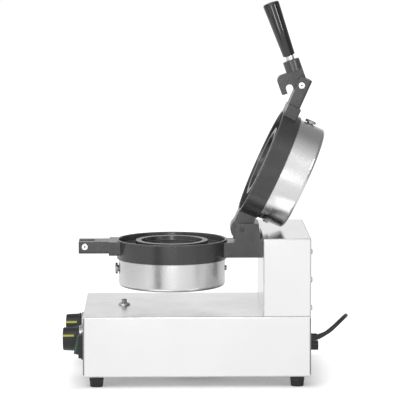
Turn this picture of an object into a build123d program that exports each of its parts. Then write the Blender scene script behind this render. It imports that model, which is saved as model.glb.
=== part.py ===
"""Ice cream panini press: a hinged pair of cast plates on a steel base box.

X runs across the press, Y from the knobs (minus) to the cord (plus), Z up, and the feet stand on Z = 0.
"""

import os
from math import cos, pi, radians, sin, sqrt, tan

from build123d import *

# Base box
base_width = 240.0
base_depth = 340.0
base_height = 90.0
base_center_y = 2.8
base_sheet = 1.5
base_corner_radius = 3.0
base_edge_radius = 1.95
base_flange = 24.0
foot_height = 14.8
foot_top_radius = 11.0
foot_bottom_radius = 9.5
foot_inset_x = 12.0
foot_inset_y = 20.0
foot_screw_radius = 2.0
foot_recess_radius = 4.6
foot_recess_depth = 7.0
foot_screw_head_radius = 3.8
foot_screw_head_height = 2.4
foot_screw_length = 13.0
bottom_plate_thickness = 1.2
bottom_plate_inset = 3.0
plate_screw_spacing = 109.0
plate_screw_length = 8.0
vent_length = 44.0
vent_width = 4.0
vent_pitch = 12.0
vent_count = 6

# Tower
tower_side_inset = 1.0
tower_width = base_width - 2 * tower_side_inset
tower_depth = 70.0
tower_height = 116.5
tower_rear_inset = 1.2
tower_sheet = 1.5
tower_corner_radius = 2.0
tower_flange = 12.0
tower_back_flange = 18.0
cover_thickness = 1.2
cover_screw_inset = 9.0
cover_screw_height = 54.0
cover_screw_spacing = 42.0
cover_gap = 0.3
stiffener_width = 120.0
stiffener_height = 44.0
stiffener_thickness = 3.0
bracket_bolt_radius = 3.0
bracket_bolt_head_radius = 5.0
bracket_bolt_head_height = 4.0
bracket_bolt_spacing_x = 49.0
bracket_bolt_spacing_z = 17.0
bracket_bolts_below_parting = 15.0
bracket_bolt_length = 13.0
case_screw_head_radius = 3.8
case_screw_head_height = 2.2
case_screw_length = 9.0
deck_window_width = 60.0
deck_window_depth = 34.0

# Cast plates
plate_radius = 85.0
plate_ahead_of_hinge = 106.7
parting_below_tower_top = 14.5
parting_gap = 0.4
band_height = 29.6
band_draft = 1.0
rim_wall = 4.0
rim_bevel = 0.8
recess_draft = 1.0
recess_depth = 9.5
ring_outer_radius = 55.0
ring_inner_radius = 47.0
ring_drop = 1.5
bowl_edge_depth = 8.0
bowl_depth = 12.0
plate_floor_depth = 17.0
skirt_inner_radius = 76.0
spigot_depth = 3.4
spigot_gap = 0.3
boss_width = 62.0
boss_reach = 95.9
boss_top = 1.5
boss_bottom = 22.4
boss_edge_radius = 2.0

# Steel housings
housing_radius = 81.3
housing_sheet = 1.0
housing_depth = 71.5
housing_edge_radius = 5.0
housing_bolt_depth = 45.4
bolt_head_radius = 8.5
bolt_head_height = 3.6
bolt_head_edge_radius = 1.2
bolt_socket_depth = 1.8
bolt_spacer_radius = 5.0
bolt_spacer_height = 1.6
bolt_shank_radius = 3.0
rear_screw_radius = 1.9
rear_screw_head_radius = 4.0
rear_screw_head_height = 2.6

# Heating parts under each plate
element_ring_radius = 58.0
element_radius = 3.95
element_gap_half_angle = 10.0
element_lead_length = 19.0
strap_width = 22.0
strap_thickness = 3.0
strap_leg_end = 52.0
strap_leg_gap = 0.4
strap_screw_radius = 3.0
insulation_radius = 70.5
insulation_start = 42.0
probe_radius = 3.9
probe_length = 60.0
probe_offset = 25.0
plate_stem_radius = 9.0
strap_screw_head_radius = 5.2
strap_screw_head_height = 3.4
strap_screw_length = 9.0

# Hinge
hinge_ahead_of_tower = 28.7
hinge_rise = 16.3
hinge_pin_radius = 5.0
hinge_bush_radius = 6.5
hinge_bush_length = 12.0
knuckle_radius = 17.5
knuckle_half_width = 19.0
cheek_half_width = 30.0
hinge_side_gap = 0.3
pocket_gap = 0.5
cheek_front_reach = 10.4
cheek_top_rise = 9.5
cheek_corner_radius = 9.0
cheek_rear_lean = 3.4
cheek_rear_rise = 24.0
cheek_toe = 2.7
cheek_step_depth = -2.0
lid_stop_gap = 0.3
arm_front_reach = 75.0
arm_edge_depth = 0.5
bracket_front_reach = 76.0
hinge_pin_center_radius = 2.0
hinge_pin_center_depth = 1.0
bracket_bottom_depth = 26.0
bracket_top_depth = 3.0
arm_thickness_top = 28.8
wire_channel_radius = 3.5
wire_channel_depth = 21.0
lid_open_angle = 114.3

# Latch forks, pins and lever
fork_width = 40.0
fork_slot_width = 15.0
fork_reach = 142.0
fork_slot_end = 118.0
fork_near_depth = 2.0
fork_far_depth = 20.8
fork_edge_radius = 4.0
tongue_half_width = 12.0
tongue_near_depth = 6.2
tongue_far_depth = 15.8
tongue_length = 11.6
tongue_gap = 0.2
fork_screw_radius = 2.5
fork_screw_head_radius = 4.4
fork_screw_head_height = 3.2
fork_screw_spacing = 14.0
fork_screw_reach = 90.0
fork_screw_seat = 19.0
fork_screw_length = 11.0
latch_pin_radius = 4.0
latch_pin_head_radius = 4.7
latch_pin_head_height = 1.2
latch_pin_center_radius = 1.3
latch_pin_center_depth = 0.6
lower_pin_reach = 132.6
lower_pin_depth = 9.8
latch_pivot_reach = 130.0
latch_pivot_depth = 8.5
lever_thickness = 14.0
lever_lean = 19.6
lever_heel_radius = 10.2
lever_top = 24.3
lever_front = 32.5
lever_corner_radius = 9.0
lip_end = 5.5
lip_edge_radius = 2.0
mouth_corner_v = -3.4
heel_step = 7.2
hook_center_u = -18.4
hook_center_v = 1.5
hook_radius = 5.4
collar_radius = 12.85
collar_height = 16.1
collar_offset = -2.4
collar_edge_radius = 1.5
stud_radius = 4.0
stud_length = 52.0
stud_sunk = 10.0
grip_nut_radius = 6.4
grip_nut_height = 7.4
grip_nut_bevel = 0.6
grip_length = 85.8
grip_bottom_radius = 9.4
grip_top_radius = 12.6
grip_dome = 1.6
grip_bottom_bevel = 1.0
grip_shoulder = [(0.0, 3.0), (1.0, 0.8), (3.0, -0.4)]

# Front panel
switch_side_inset = 19.5
knob_to_switch = 38.5
knob_height = 48.0
knob_skirt_radius = 19.4
knob_skirt_thickness = 4.0
knob_rear_radius = 18.4
knob_front_radius = 17.4
knob_depth = 28.2
knob_gap = 0.4
knob_line_width = 3.0
knob_line_length = 17.0
knob_line_proud = 0.25
knob_line_angle = 25.0
dial_radius = 23.0
dial_thickness = 2.9
dial_edge_bevel = 0.7
shaft_radius = 3.0
shaft_length = 14.0
shaft_hole_length = 15.0
knob_edge_radius = 1.6
knob_skirt_bevel = 1.0
knob_line_inner_radius = 7.0
control_size = 42.0
control_depth = 26.0
control_corner_radius = 3.0
control_bush_radius = 5.0
switch_height = 44.0
switch_width = 27.0
switch_tall = 38.0
switch_flange = 2.6
switch_corner_radius = 2.0
switch_surround = 6.8
switch_surround_width = 23.0
switch_surround_tall = 35.0
switch_window_width = 17.0
switch_window_tall = 30.4
switch_body_depth = 26.0
switch_lap = 2.2
switch_cavity_depth = 8.0
rocker_tilt = 12.0
rocker_width = 16.0
rocker_tall = 26.0
rocker_rear = 6.0
rocker_rear_half_width = 5.0
rocker_side_depth = 1.0
rocker_edge_radius = 1.0
rocker_axle_radius = 1.6
rocker_axle_length = 20.0
rocker_pivot_out = 2.5
rocker_face_out = 11.7

# Rear panel
gland_height = 38.2
gland_radius = 6.3
gland_body = 7.0
gland_sleeve = 10.2
gland_tip_radius = 4.9
gland_bend = 16.0
gland_thread_radius = 5.6
gland_thread_length = 9.0
gland_nut_across = 16.0
gland_nut_height = 5.0
fuse_x = 70.0
fuse_height = 38.2
fuse_cap_radius = 7.2
fuse_cap_out = 13.6
fuse_body_radius = 6.0
fuse_body_depth = 34.0
fuse_bore_radius = 3.4
fuse_bore_depth = 28.0
fuse_stem_radius = 3.3
fuse_stem_length = 8.0
fuse_flange = 1.6
fuse_flute_count = 12
fuse_flute_radius = 0.8

# Deck screw
deck_screw_inset = 60.3
deck_washer_radius = 9.4
deck_washer_height = 2.6
deck_washer_top_radius = 8.0
deck_screw_radius = 2.5
deck_screw_length = 14.0
deck_cup_radius = 5.4
deck_cup_floor_radius = 4.9
deck_cup_floor = 1.43
deck_head_across = 8.0
deck_head_height = 7.2
deck_head_bevel = 0.6

# Inside the base
terminal_width = 46.0
terminal_depth = 22.0
terminal_height = 18.0
terminal_y = 110.0
terminal_pitch = 12.0
terminal_count = 3
terminal_hole_radius = 2.2

# Power cord: offsets from its exit, along the photographed rise, round behind the base and down to the bench
cord_radius = 3.25
cord_first_run = 9.0
cord_corner_share = 0.45
cord_arch = [
    (-0.8, 18.4, 7.9),
    (-5.2, 27.5, 15.5),
    (-15.8, 37.1, 22.5),
    (-34.0, 44.1, 24.9),
    (-60.0, 48.7, 23.1),
    (-88.0, 46.6, 14.5),
    (-112.0, 35.6, -2.1),
    (-129.5, 17.1, -21.7),
    (-138.5, -5.9, -32.0),
    (-142.0, -30.9, -44.8),
]
cord_landing = [(-143.5, -55.9), (-144.0, -80.9), (-143.5, -105.9)]
bench_gap = 0.05
coil_radius = 43.5
coil_pitch = 7.1
coil_layer_step = 7.0
coil_turns_in = 2.5
coil_climb_turns = 0.5
coil_start_straight = 6.5
coil_end_straight = 22.0

# Plug
plug_relief_length = 22.0
plug_relief_radius = 4.4
plug_relief_base_radius = 6.6
plug_length = 40.0
plug_width = 27.0
plug_corner_radius = 5.0
plug_edge_bevel = 1.0
blade_length = 16.0
blade_width = 6.4
blade_thickness = 1.5
blade_spacing = 12.7
blade_drop = 3.0
earth_pin_radius = 2.4
earth_pin_length = 19.0
earth_pin_rise = 5.0

# Screw heads, as shares of the head's own size
head_rounding = 0.45
cross_span = 1.1
cross_width = 0.26
cross_depth = 0.5

# Clearances
fit = 0.05
press = 0.02
slip = 0.1
hole_end_gap = 0.5
cut_overrun = 1.0

# Values that follow from the sizes above
base_bottom = foot_height + bottom_plate_thickness
base_top = base_bottom + base_height
base_front = base_center_y - base_depth / 2
base_rear = base_center_y + base_depth / 2
foot_spacing_x = base_width - 2 * foot_inset_x
foot_spacing_y = base_depth - 2 * foot_inset_y
tower_rear = base_rear - tower_rear_inset
tower_front = tower_rear - tower_depth
tower_middle_y = (tower_front + tower_rear) / 2
parting_height = tower_height - parting_below_tower_top
bracket_bolt_height = parting_height - bracket_bolts_below_parting
switch_x = base_width / 2 - switch_side_inset
knob_spacing = 2 * (switch_x - knob_to_switch)
hinge_y = tower_front - hinge_ahead_of_tower
plate_y = hinge_y - plate_ahead_of_hinge
parting_z = base_top + parting_height
hinge_z = parting_z + hinge_rise
hinge_reach = -plate_ahead_of_hinge
housing_inner_radius = housing_radius - housing_sheet
spigot_radius = housing_inner_radius - spigot_gap
spigot_end = band_height + spigot_depth
plate_top = parting_gap / 2
strap_reach = sqrt(skirt_inner_radius**2 - (strap_width / 2) ** 2) - strap_leg_gap
element_depth = plate_floor_depth + element_radius + fit
strap_depth = plate_floor_depth + 2 * element_radius + slip
stop_drop = arm_thickness_top - hinge_rise + lid_stop_gap - cheek_top_rise * cos(radians(lid_open_angle))
stop_reach = stop_drop / sin(radians(lid_open_angle))
deck_screw_y = base_front + deck_screw_inset
wire_channel_z = parting_z - wire_channel_depth
knob_seat = dial_thickness + knob_gap
cord_lie = cord_radius + bench_gap
front_panel = Plane(origin=(0, base_front, base_bottom + knob_height), x_dir=(1, 0, 0), z_dir=(0, -1, 0))
rear_panel = Plane(origin=(0, base_rear, base_bottom + gland_height), x_dir=(-1, 0, 0), z_dir=(0, 1, 0))
tower_wall = Plane(origin=(0, tower_front, base_top), x_dir=(1, 0, 0), z_dir=(0, -1, 0))
tower_back = Plane(origin=(0, tower_rear, base_top), x_dir=(-1, 0, 0), z_dir=(0, 1, 0))
cover_screw_x = tower_width / 2 - cover_screw_inset
cover_screw_spots = [
    (side * cover_screw_x, cover_screw_height + step * cover_screw_spacing)
    for side in (-1, 1)
    for step in (-1, 0, 1)
]
bracket_bolt_spots = [
    (side * bracket_bolt_spacing_x / 2, bracket_bolt_height + level * bracket_bolt_spacing_z / 2)
    for side in (-1, 1)
    for level in (-1, 1)
]


def swing_open(frame):
    """The plane that a plane of the closed lid becomes when the lid stands open."""
    hinge = Vector(0, hinge_y, hinge_z)
    origin = hinge + (frame.origin - hinge).rotate(Axis.X, -lid_open_angle)
    x_dir = frame.x_dir.rotate(Axis.X, -lid_open_angle)
    z_dir = frame.z_dir.rotate(Axis.X, -lid_open_angle)
    return Plane(origin=origin, x_dir=x_dir, z_dir=z_dir)


# Each plate has a frame with its origin at the plate's centre on the parting plane:
# its y runs to the latch and its z into the plate, away from the parting plane.
lower_frame = Plane(origin=(0, plate_y, parting_z), x_dir=(1, 0, 0), z_dir=(0, 0, -1))
closed_frame = Plane(origin=(0, plate_y, parting_z), x_dir=(-1, 0, 0), z_dir=(0, 0, 1))
upper_frame = swing_open(closed_frame)


def plate_point(frame, x, reach, depth):
    """A point of the part, given in a plate's frame."""
    return frame.origin + frame.x_dir * x + frame.y_dir * reach + frame.z_dir * depth


def profile_plane(frame):
    """The plane through a plate's axis: its x is the radius and its y the depth in the plate."""
    return Plane(origin=frame.origin, x_dir=frame.x_dir, z_dir=frame.y_dir * -1)


def side_plane(frame):
    """The plate's middle plane: its x runs to the latch and its y is the depth in the plate."""
    return Plane(origin=frame.origin, x_dir=frame.y_dir, z_dir=frame.x_dir)


def level_plane(frame, depth):
    """A plane parallel to the parting plane, at a depth in the plate."""
    return Plane(origin=plate_point(frame, 0, 0, depth), x_dir=frame.x_dir, z_dir=frame.z_dir)


def end_plane(frame, reach):
    """A plane across a plate's reach: its x is the plate's x, its y the depth, and it faces the hinge."""
    return Plane(origin=plate_point(frame, 0, reach, 0), x_dir=frame.x_dir, z_dir=frame.y_dir * -1)


def outward_plane(frame, reach, depth):
    """A plane whose normal points away from the plate's axis, on the latch or on the hinge side."""
    normal = frame.y_dir if reach > 0 else frame.y_dir * -1
    return Plane(origin=plate_point(frame, 0, reach, depth), x_dir=frame.x_dir, z_dir=normal)


def plate_axis(frame):
    """The plate's own axis."""
    return Axis(frame.origin, frame.z_dir)


def turned(frame, points):
    """A ring made by turning a closed outline of radius and depth about a plate's axis."""
    with BuildPart() as ring:
        with BuildSketch(profile_plane(frame)):
            with BuildLine():
                Polyline(*points, close=True)
            make_face()
        revolve(axis=plate_axis(frame))
    return ring.part


def pan_screw(plane, radius, head_radius, head_height, length):
    """A round-headed screw: its head stands on the plane and its shank runs behind it."""
    with BuildPart() as screw:
        with BuildSketch(plane):
            Circle(head_radius)
        extrude(amount=head_height)
        top = screw.faces().sort_by(Axis(plane.origin, plane.z_dir))[-1]
        fillet(top.edges(), radius=head_height * head_rounding)
        with BuildSketch(plane):
            Circle(radius)
        extrude(amount=-length)
        with BuildSketch(plane.offset(head_height)):
            Rectangle(head_radius * cross_span, head_radius * cross_width)
            Rectangle(head_radius * cross_width, head_radius * cross_span)
        extrude(amount=-head_height * cross_depth, mode=Mode.SUBTRACT)
    return screw.part


def screw_set(plane, spots, radius, head_radius, head_height, length):
    """Equal screws at spots of a plane, as one group of separate solids."""
    seats = [
        Plane(origin=plane.from_local_coords((x, y, 0)), x_dir=plane.x_dir, z_dir=plane.z_dir)
        for x, y in spots
    ]
    screws = [pan_screw(seat, radius, head_radius, head_height, length) for seat in seats]
    with BuildPart() as group:
        add(screws)
    return group.part


def grid_spots(spacing_x, spacing_y, count_x, count_y, center_x=0.0, center_y=0.0):
    """The points of a grid about a centre."""
    return [
        (center_x + spacing_x * (i - (count_x - 1) / 2), center_y + spacing_y * (j - (count_y - 1) / 2))
        for i in range(count_x)
        for j in range(count_y)
    ]


# Base
def make_base_shell():
    """The folded steel box, open below but for the flange that the bottom plate is screwed to."""
    with BuildPart() as shell:
        with BuildSketch(Plane.XY.offset(base_bottom)):
            with Locations((0, base_center_y)):
                RectangleRounded(base_width, base_depth, base_corner_radius)
        extrude(amount=base_height)
        fillet(shell.faces().sort_by(Axis.Z)[-1].edges(), radius=base_edge_radius)
        with BuildSketch(Plane.XY.offset(base_bottom + base_sheet)):
            with Locations((0, base_center_y)):
                Rectangle(base_width - 2 * base_sheet, base_depth - 2 * base_sheet)
        extrude(amount=base_height - 2 * base_sheet, mode=Mode.SUBTRACT)
        with BuildSketch(Plane.XY.offset(base_bottom)):
            with Locations((0, base_center_y)):
                Rectangle(base_width - 2 * base_flange, base_depth - 2 * base_flange)
                with GridLocations(foot_spacing_x, foot_spacing_y, 2, 2):
                    Circle(foot_screw_radius + fit)
                with GridLocations(foot_spacing_x, plate_screw_spacing, 2, 3):
                    Circle(foot_screw_radius + fit)
        extrude(amount=base_sheet, mode=Mode.SUBTRACT)
        with BuildSketch(Plane.XY.offset(base_top - base_sheet)):
            with Locations((0, deck_screw_y)):
                Circle(deck_screw_radius + fit)
            with Locations((0, tower_middle_y)):
                Rectangle(deck_window_width, deck_window_depth)
        extrude(amount=base_sheet, mode=Mode.SUBTRACT)
        with BuildSketch(front_panel):
            with GridLocations(knob_spacing, 0, 2, 1):
                Circle(control_bush_radius + slip)
            with Locations((switch_x, switch_height - knob_height)):
                Rectangle(switch_width - 2 * switch_lap, switch_tall - 2 * switch_lap)
        extrude(amount=-base_sheet, mode=Mode.SUBTRACT)
        with BuildSketch(rear_panel):
            Circle(gland_thread_radius + slip)
            with Locations((-fuse_x, fuse_height - gland_height)):
                Circle(fuse_body_radius + slip)
        extrude(amount=-base_sheet, mode=Mode.SUBTRACT)
    return shell.part


def make_bottom_plate():
    """The vented sheet that closes the base from below."""
    with BuildPart() as plate:
        with BuildSketch(Plane.XY.offset(foot_height)):
            with Locations((0, base_center_y)):
                Rectangle(base_width - 2 * bottom_plate_inset, base_depth - 2 * bottom_plate_inset)
                with GridLocations(2 * vent_length, vent_pitch, 2, vent_count):
                    SlotOverall(vent_length, vent_width, mode=Mode.SUBTRACT)
                with GridLocations(foot_spacing_x, foot_spacing_y, 2, 2):
                    Circle(foot_screw_radius + fit, mode=Mode.SUBTRACT)
                with GridLocations(foot_spacing_x, plate_screw_spacing, 2, 3):
                    Circle(foot_screw_radius + fit, mode=Mode.SUBTRACT)
        extrude(amount=bottom_plate_thickness)
    return plate.part


def make_foot():
    """One rubber foot about the Z axis, recessed below for its screw."""
    with BuildPart() as foot:
        with BuildSketch(Plane.XZ):
            with BuildLine():
                Polyline(
                    (foot_recess_radius, 0),
                    (foot_bottom_radius, 0),
                    (foot_top_radius, foot_height),
                    (foot_screw_radius + fit, foot_height),
                    (foot_screw_radius + fit, foot_recess_depth),
                    (foot_recess_radius, foot_recess_depth),
                    close=True,
                )
            make_face()
        revolve(axis=Axis.Z)
    return foot.part


def make_feet():
    """The four rubber feet."""
    foot = make_foot()
    with BuildPart() as feet:
        with Locations((0, base_center_y)):
            with GridLocations(foot_spacing_x, foot_spacing_y, 2, 2):
                add(foot)
    return feet.part


def under_plane(height):
    """A plane that faces down at a height, centred on the base."""
    return Plane(origin=(0, base_center_y, height), x_dir=(1, 0, 0), z_dir=(0, 0, -1))


def make_foot_screws():
    """The screws that hold the feet to the base's flange."""
    spots = grid_spots(foot_spacing_x, foot_spacing_y, 2, 2)
    return screw_set(
        under_plane(foot_recess_depth), spots, foot_screw_radius, foot_screw_head_radius,
        foot_screw_head_height, foot_screw_length,
    )


def make_plate_screws():
    """The six screws of the bottom plate."""
    spots = grid_spots(foot_spacing_x, plate_screw_spacing, 2, 3)
    return screw_set(
        under_plane(foot_height), spots, foot_screw_radius, case_screw_head_radius, case_screw_head_height,
        plate_screw_length,
    )


def make_deck_washer():
    """The cup washer under the head of the deck screw."""
    with BuildPart() as washer:
        with BuildSketch(Plane.XZ.offset(-deck_screw_y)):
            with BuildLine():
                Polyline(
                    (deck_screw_radius + fit, base_top),
                    (deck_washer_radius, base_top),
                    (deck_washer_top_radius, base_top + deck_washer_height),
                    (deck_cup_radius, base_top + deck_washer_height),
                    (deck_cup_floor_radius, base_top + deck_cup_floor),
                    (deck_screw_radius + fit, base_top + deck_cup_floor),
                    close=True,
                )
            make_face()
        revolve(axis=Axis((0, deck_screw_y, 0), (0, 0, 1)))
    return washer.part


def make_deck_screw():
    """The hexagon-headed screw that stands in the cup washer."""
    seat = base_top + deck_cup_floor
    with BuildPart() as screw:
        with BuildSketch(Plane.XY.offset(seat)):
            with Locations((0, deck_screw_y)):
                RegularPolygon(deck_head_across / 2, 6, major_radius=False)
        extrude(amount=deck_head_height)
        chamfer(screw.faces().sort_by(Axis.Z)[-1].edges(), length=deck_head_bevel)
        with BuildSketch(Plane.XY.offset(seat)):
            with Locations((0, deck_screw_y)):
                Circle(deck_screw_radius)
        extrude(amount=-deck_screw_length)
    return screw.part


# Tower
def make_tower_shell():
    """The steel tower, open at its back, with flanges for its cover and on the deck."""
    with BuildPart() as shell:
        with BuildSketch(Plane.XY.offset(base_top)):
            with Locations((0, tower_middle_y)):
                Rectangle(tower_width, tower_depth)
        extrude(amount=tower_height)
        front = shell.faces().sort_by(Axis.Y)[0]
        fillet(front.edges().filter_by(Axis.Z), radius=tower_corner_radius)
        fillet(shell.faces().sort_by(Axis.Z)[-1].edges().sort_by(Axis.Y)[:-1], radius=tower_corner_radius)
        with BuildSketch(Plane.XY.offset(base_top + tower_sheet)):
            with Locations((0, tower_middle_y)):
                Rectangle(tower_width - 2 * tower_sheet, tower_depth - 2 * tower_sheet)
        extrude(amount=tower_height - 2 * tower_sheet, mode=Mode.SUBTRACT)
        with BuildSketch(Plane.XY.offset(base_top)):
            with Locations((0, tower_middle_y)):
                Rectangle(tower_width - 2 * tower_flange, tower_depth - 2 * tower_flange)
        extrude(amount=tower_sheet, mode=Mode.SUBTRACT)
        with BuildSketch(tower_back):
            with Locations((0, tower_height / 2)):
                Rectangle(tower_width - 2 * tower_back_flange, tower_height - 2 * tower_flange)
            with Locations(*cover_screw_spots):
                Circle(rear_screw_radius + fit)
        extrude(amount=-tower_sheet, mode=Mode.SUBTRACT)
        with BuildSketch(tower_wall):
            with Locations(*bracket_bolt_spots):
                Circle(bracket_bolt_radius + fit)
            with Locations((0, wire_channel_z - base_top)):
                Circle(wire_channel_radius)
        extrude(amount=-tower_sheet, mode=Mode.SUBTRACT)
    return shell.part


def make_tower_cover():
    """The sheet that closes the tower's back."""
    with BuildPart() as cover:
        with BuildSketch(tower_back):
            with Locations((0, tower_height / 2)):
                Rectangle(tower_width - 2 * cover_gap, tower_height - 2 * cover_gap)
                with GridLocations(0, vent_pitch, 1, vent_count):
                    SlotOverall(vent_length, vent_width, mode=Mode.SUBTRACT)
            with Locations(*cover_screw_spots):
                Circle(rear_screw_radius + fit, mode=Mode.SUBTRACT)
        extrude(amount=cover_thickness)
    return cover.part


def make_cover_screws():
    """The six screws of the tower's cover."""
    return screw_set(
        tower_back.offset(cover_thickness), cover_screw_spots, rear_screw_radius, case_screw_head_radius,
        case_screw_head_height, case_screw_length,
    )


def make_stiffener():
    """The thick plate behind the tower's front wall that the hinge bracket is bolted to."""
    with BuildPart() as plate:
        with BuildSketch(tower_wall.offset(-tower_sheet)):
            with Locations((0, bracket_bolt_height)):
                Rectangle(stiffener_width, stiffener_height)
            with Locations(*bracket_bolt_spots):
                Circle(bracket_bolt_radius + fit, mode=Mode.SUBTRACT)
            with Locations((0, wire_channel_z - base_top)):
                Circle(wire_channel_radius, mode=Mode.SUBTRACT)
        extrude(amount=-stiffener_thickness)
    return plate.part


def make_bracket_bolts():
    """The four bolts that run through the stiffener and the tower's wall into the bracket."""
    inner_y = tower_front + tower_sheet + stiffener_thickness
    inside = Plane(origin=(0, inner_y, base_top), x_dir=(1, 0, 0), z_dir=(0, 1, 0))
    spots = [(x, -height) for x, height in bracket_bolt_spots]
    return screw_set(
        inside, spots, bracket_bolt_radius, bracket_bolt_head_radius, bracket_bolt_head_height,
        bracket_bolt_length,
    )


# Cast plates
def front_boss(frame):
    """The block at a plate's front edge that holds the latch fork."""
    with BuildPart() as boss:
        with BuildSketch(end_plane(frame, boss_reach)):
            with BuildLine():
                Polyline(
                    (-boss_width / 2, boss_top),
                    (boss_width / 2, boss_top),
                    (boss_width / 2, boss_bottom - boss_edge_radius),
                    (boss_width / 2 - boss_edge_radius, boss_bottom),
                    (-boss_width / 2 + boss_edge_radius, boss_bottom),
                    (-boss_width / 2, boss_bottom - boss_edge_radius),
                    close=True,
                )
            make_face()
        extrude(amount=boss_reach - skirt_inner_radius)
    return boss.part


def boss_cuts(frame):
    """What is cut from a boss: the pocket for the fork's tongue and the holes for its screws."""
    with BuildPart() as cuts:
        with BuildSketch(end_plane(frame, boss_reach)):
            with Locations((0, (tongue_near_depth + tongue_far_depth) / 2)):
                Rectangle(
                    2 * (tongue_half_width + tongue_gap),
                    tongue_far_depth - tongue_near_depth + 2 * tongue_gap,
                )
        extrude(amount=tongue_length + tongue_gap)
        with BuildSketch(level_plane(frame, boss_bottom)):
            with Locations((0, fork_screw_reach)):
                with GridLocations(fork_screw_spacing, 0, 2, 1):
                    Circle(fork_screw_radius + fit)
        extrude(amount=tongue_far_depth - boss_bottom)
        with BuildSketch(level_plane(frame, boss_bottom)):
            with Locations((0, fork_screw_reach)):
                with GridLocations(fork_screw_spacing, 0, 2, 1):
                    Circle(fork_screw_head_radius + 2 * slip)
        extrude(amount=fork_screw_seat - boss_bottom)
    return cuts.part


def plate_blank(frame):
    """The plate's outer form, still solid: its drafted rim and the spigot that the housing fits over."""
    outline = [
        (0, plate_top),
        (plate_radius - rim_bevel, plate_top),
        (plate_radius, plate_top + rim_bevel),
        (plate_radius - band_draft, band_height),
        (spigot_radius, band_height),
        (spigot_radius, spigot_end),
        (0, spigot_end),
    ]
    return turned(frame, outline)


def cooking_face(frame):
    """What is cut from the blank on the cooking side: the outer recess and the bowl inside the seal ring."""
    rim_inner = plate_radius - rim_wall
    ring_top = plate_top + ring_drop
    with BuildPart() as face:
        with BuildSketch(profile_plane(frame)):
            bowl_edge = (ring_inner_radius - recess_draft, bowl_edge_depth)
            with BuildLine():
                Polyline(
                    (0, -cut_overrun),
                    (rim_inner + rim_bevel, -cut_overrun),
                    (rim_inner + rim_bevel, plate_top),
                    (rim_inner, plate_top + rim_bevel),
                    (rim_inner - recess_draft, recess_depth),
                    (ring_outer_radius + recess_draft, recess_depth),
                    (ring_outer_radius, ring_top),
                    (ring_inner_radius, ring_top),
                    bowl_edge,
                )
                TangentArc((0, bowl_depth), bowl_edge, tangent=(1, 0))
                Line((0, bowl_depth), (0, -cut_overrun))
            make_face()
        revolve(axis=plate_axis(frame))
    return face.part


def under_cavity(frame):
    """What is cut from the blank below: the room for the heating element, round the tapped stem."""
    outline = [
        (plate_stem_radius, plate_floor_depth),
        (skirt_inner_radius, plate_floor_depth),
        (skirt_inner_radius, spigot_end + cut_overrun),
        (0, spigot_end + cut_overrun),
        (0, strap_depth),
        (plate_stem_radius, strap_depth),
    ]
    return turned(frame, outline)


def stem_hole(frame):
    """The tapped hole in the stem for the strap's screw."""
    with BuildPart() as hole:
        with BuildSketch(level_plane(frame, strap_depth)):
            Circle(strap_screw_radius + fit)
        extrude(amount=strap_thickness - strap_screw_length - hole_end_gap)
    return hole.part


def plate_cuts(frame):
    """The cuts that both plates share, made once their arms are on."""
    return [cooking_face(frame), under_cavity(frame), stem_hole(frame), boss_cuts(frame)]


def make_lower_plate():
    """The lower casting: its plate, its latch boss and the hinge bracket that carries it off the tower."""
    tower_reach = plate_y - tower_front
    lean_reach = tower_reach + cheek_rear_lean
    front_reach = hinge_reach + cheek_front_reach
    blank = plate_blank(lower_frame)
    boss = front_boss(lower_frame)
    cuts = plate_cuts(lower_frame)
    with BuildPart() as plate:
        add([blank, boss])
        with BuildSketch(side_plane(lower_frame)) as cheek:
            with BuildLine():
                Polyline(
                    (-bracket_front_reach, bracket_bottom_depth),
                    (tower_reach, bracket_bottom_depth),
                    (tower_reach, bracket_bottom_depth - cheek_rear_rise),
                    (lean_reach, -hinge_rise - cheek_top_rise),
                    (front_reach, -hinge_rise - cheek_top_rise),
                    (front_reach, cheek_step_depth),
                    (front_reach + cheek_toe, bracket_top_depth),
                    (-bracket_front_reach, bracket_top_depth),
                    close=True,
                )
            make_face()
            top_corners = cheek.vertices().sort_by(Axis.Y)[:2]
            fillet(top_corners.sort_by(Axis.X)[-1], radius=cheek_corner_radius)
        extrude(amount=cheek_half_width, both=True)
        with BuildSketch(side_plane(lower_frame)):
            with Locations((hinge_reach, -hinge_rise)):
                Circle(knuckle_radius + pocket_gap)
        extrude(amount=knuckle_half_width + hinge_side_gap, both=True, mode=Mode.SUBTRACT)
        with BuildSketch(side_plane(lower_frame)):
            with BuildLine():
                Polyline(
                    (hinge_reach - stop_reach, -hinge_rise),
                    (hinge_reach, -hinge_rise),
                    (hinge_reach, -hinge_rise + knuckle_radius + pocket_gap),
                    (hinge_reach + 2 * cheek_front_reach, -hinge_rise + knuckle_radius + pocket_gap),
                    (hinge_reach + 2 * cheek_front_reach, -hinge_rise - 2 * cheek_top_rise),
                    (hinge_reach - stop_reach, -hinge_rise - 2 * cheek_top_rise),
                    close=True,
                )
            make_face()
        extrude(amount=knuckle_half_width + hinge_side_gap, both=True, mode=Mode.SUBTRACT)
        with BuildSketch(side_plane(lower_frame)):
            with Locations((hinge_reach, -hinge_rise)):
                Circle(hinge_pin_radius + press)
        extrude(amount=cheek_half_width, both=True, mode=Mode.SUBTRACT)
        add(cuts, mode=Mode.SUBTRACT)
        with BuildSketch(tower_wall):
            with Locations(*bracket_bolt_spots):
                Circle(bracket_bolt_radius + fit)
        bolt_hole = bracket_bolt_length - tower_sheet - stiffener_thickness + hole_end_gap
        extrude(amount=bolt_hole, mode=Mode.SUBTRACT)
        with BuildSketch(tower_wall):
            with Locations((0, wire_channel_z - base_top)):
                Circle(wire_channel_radius)
        extrude(amount=tower_front - plate_y - skirt_inner_radius + rim_wall, mode=Mode.SUBTRACT)
    return plate.part


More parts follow.
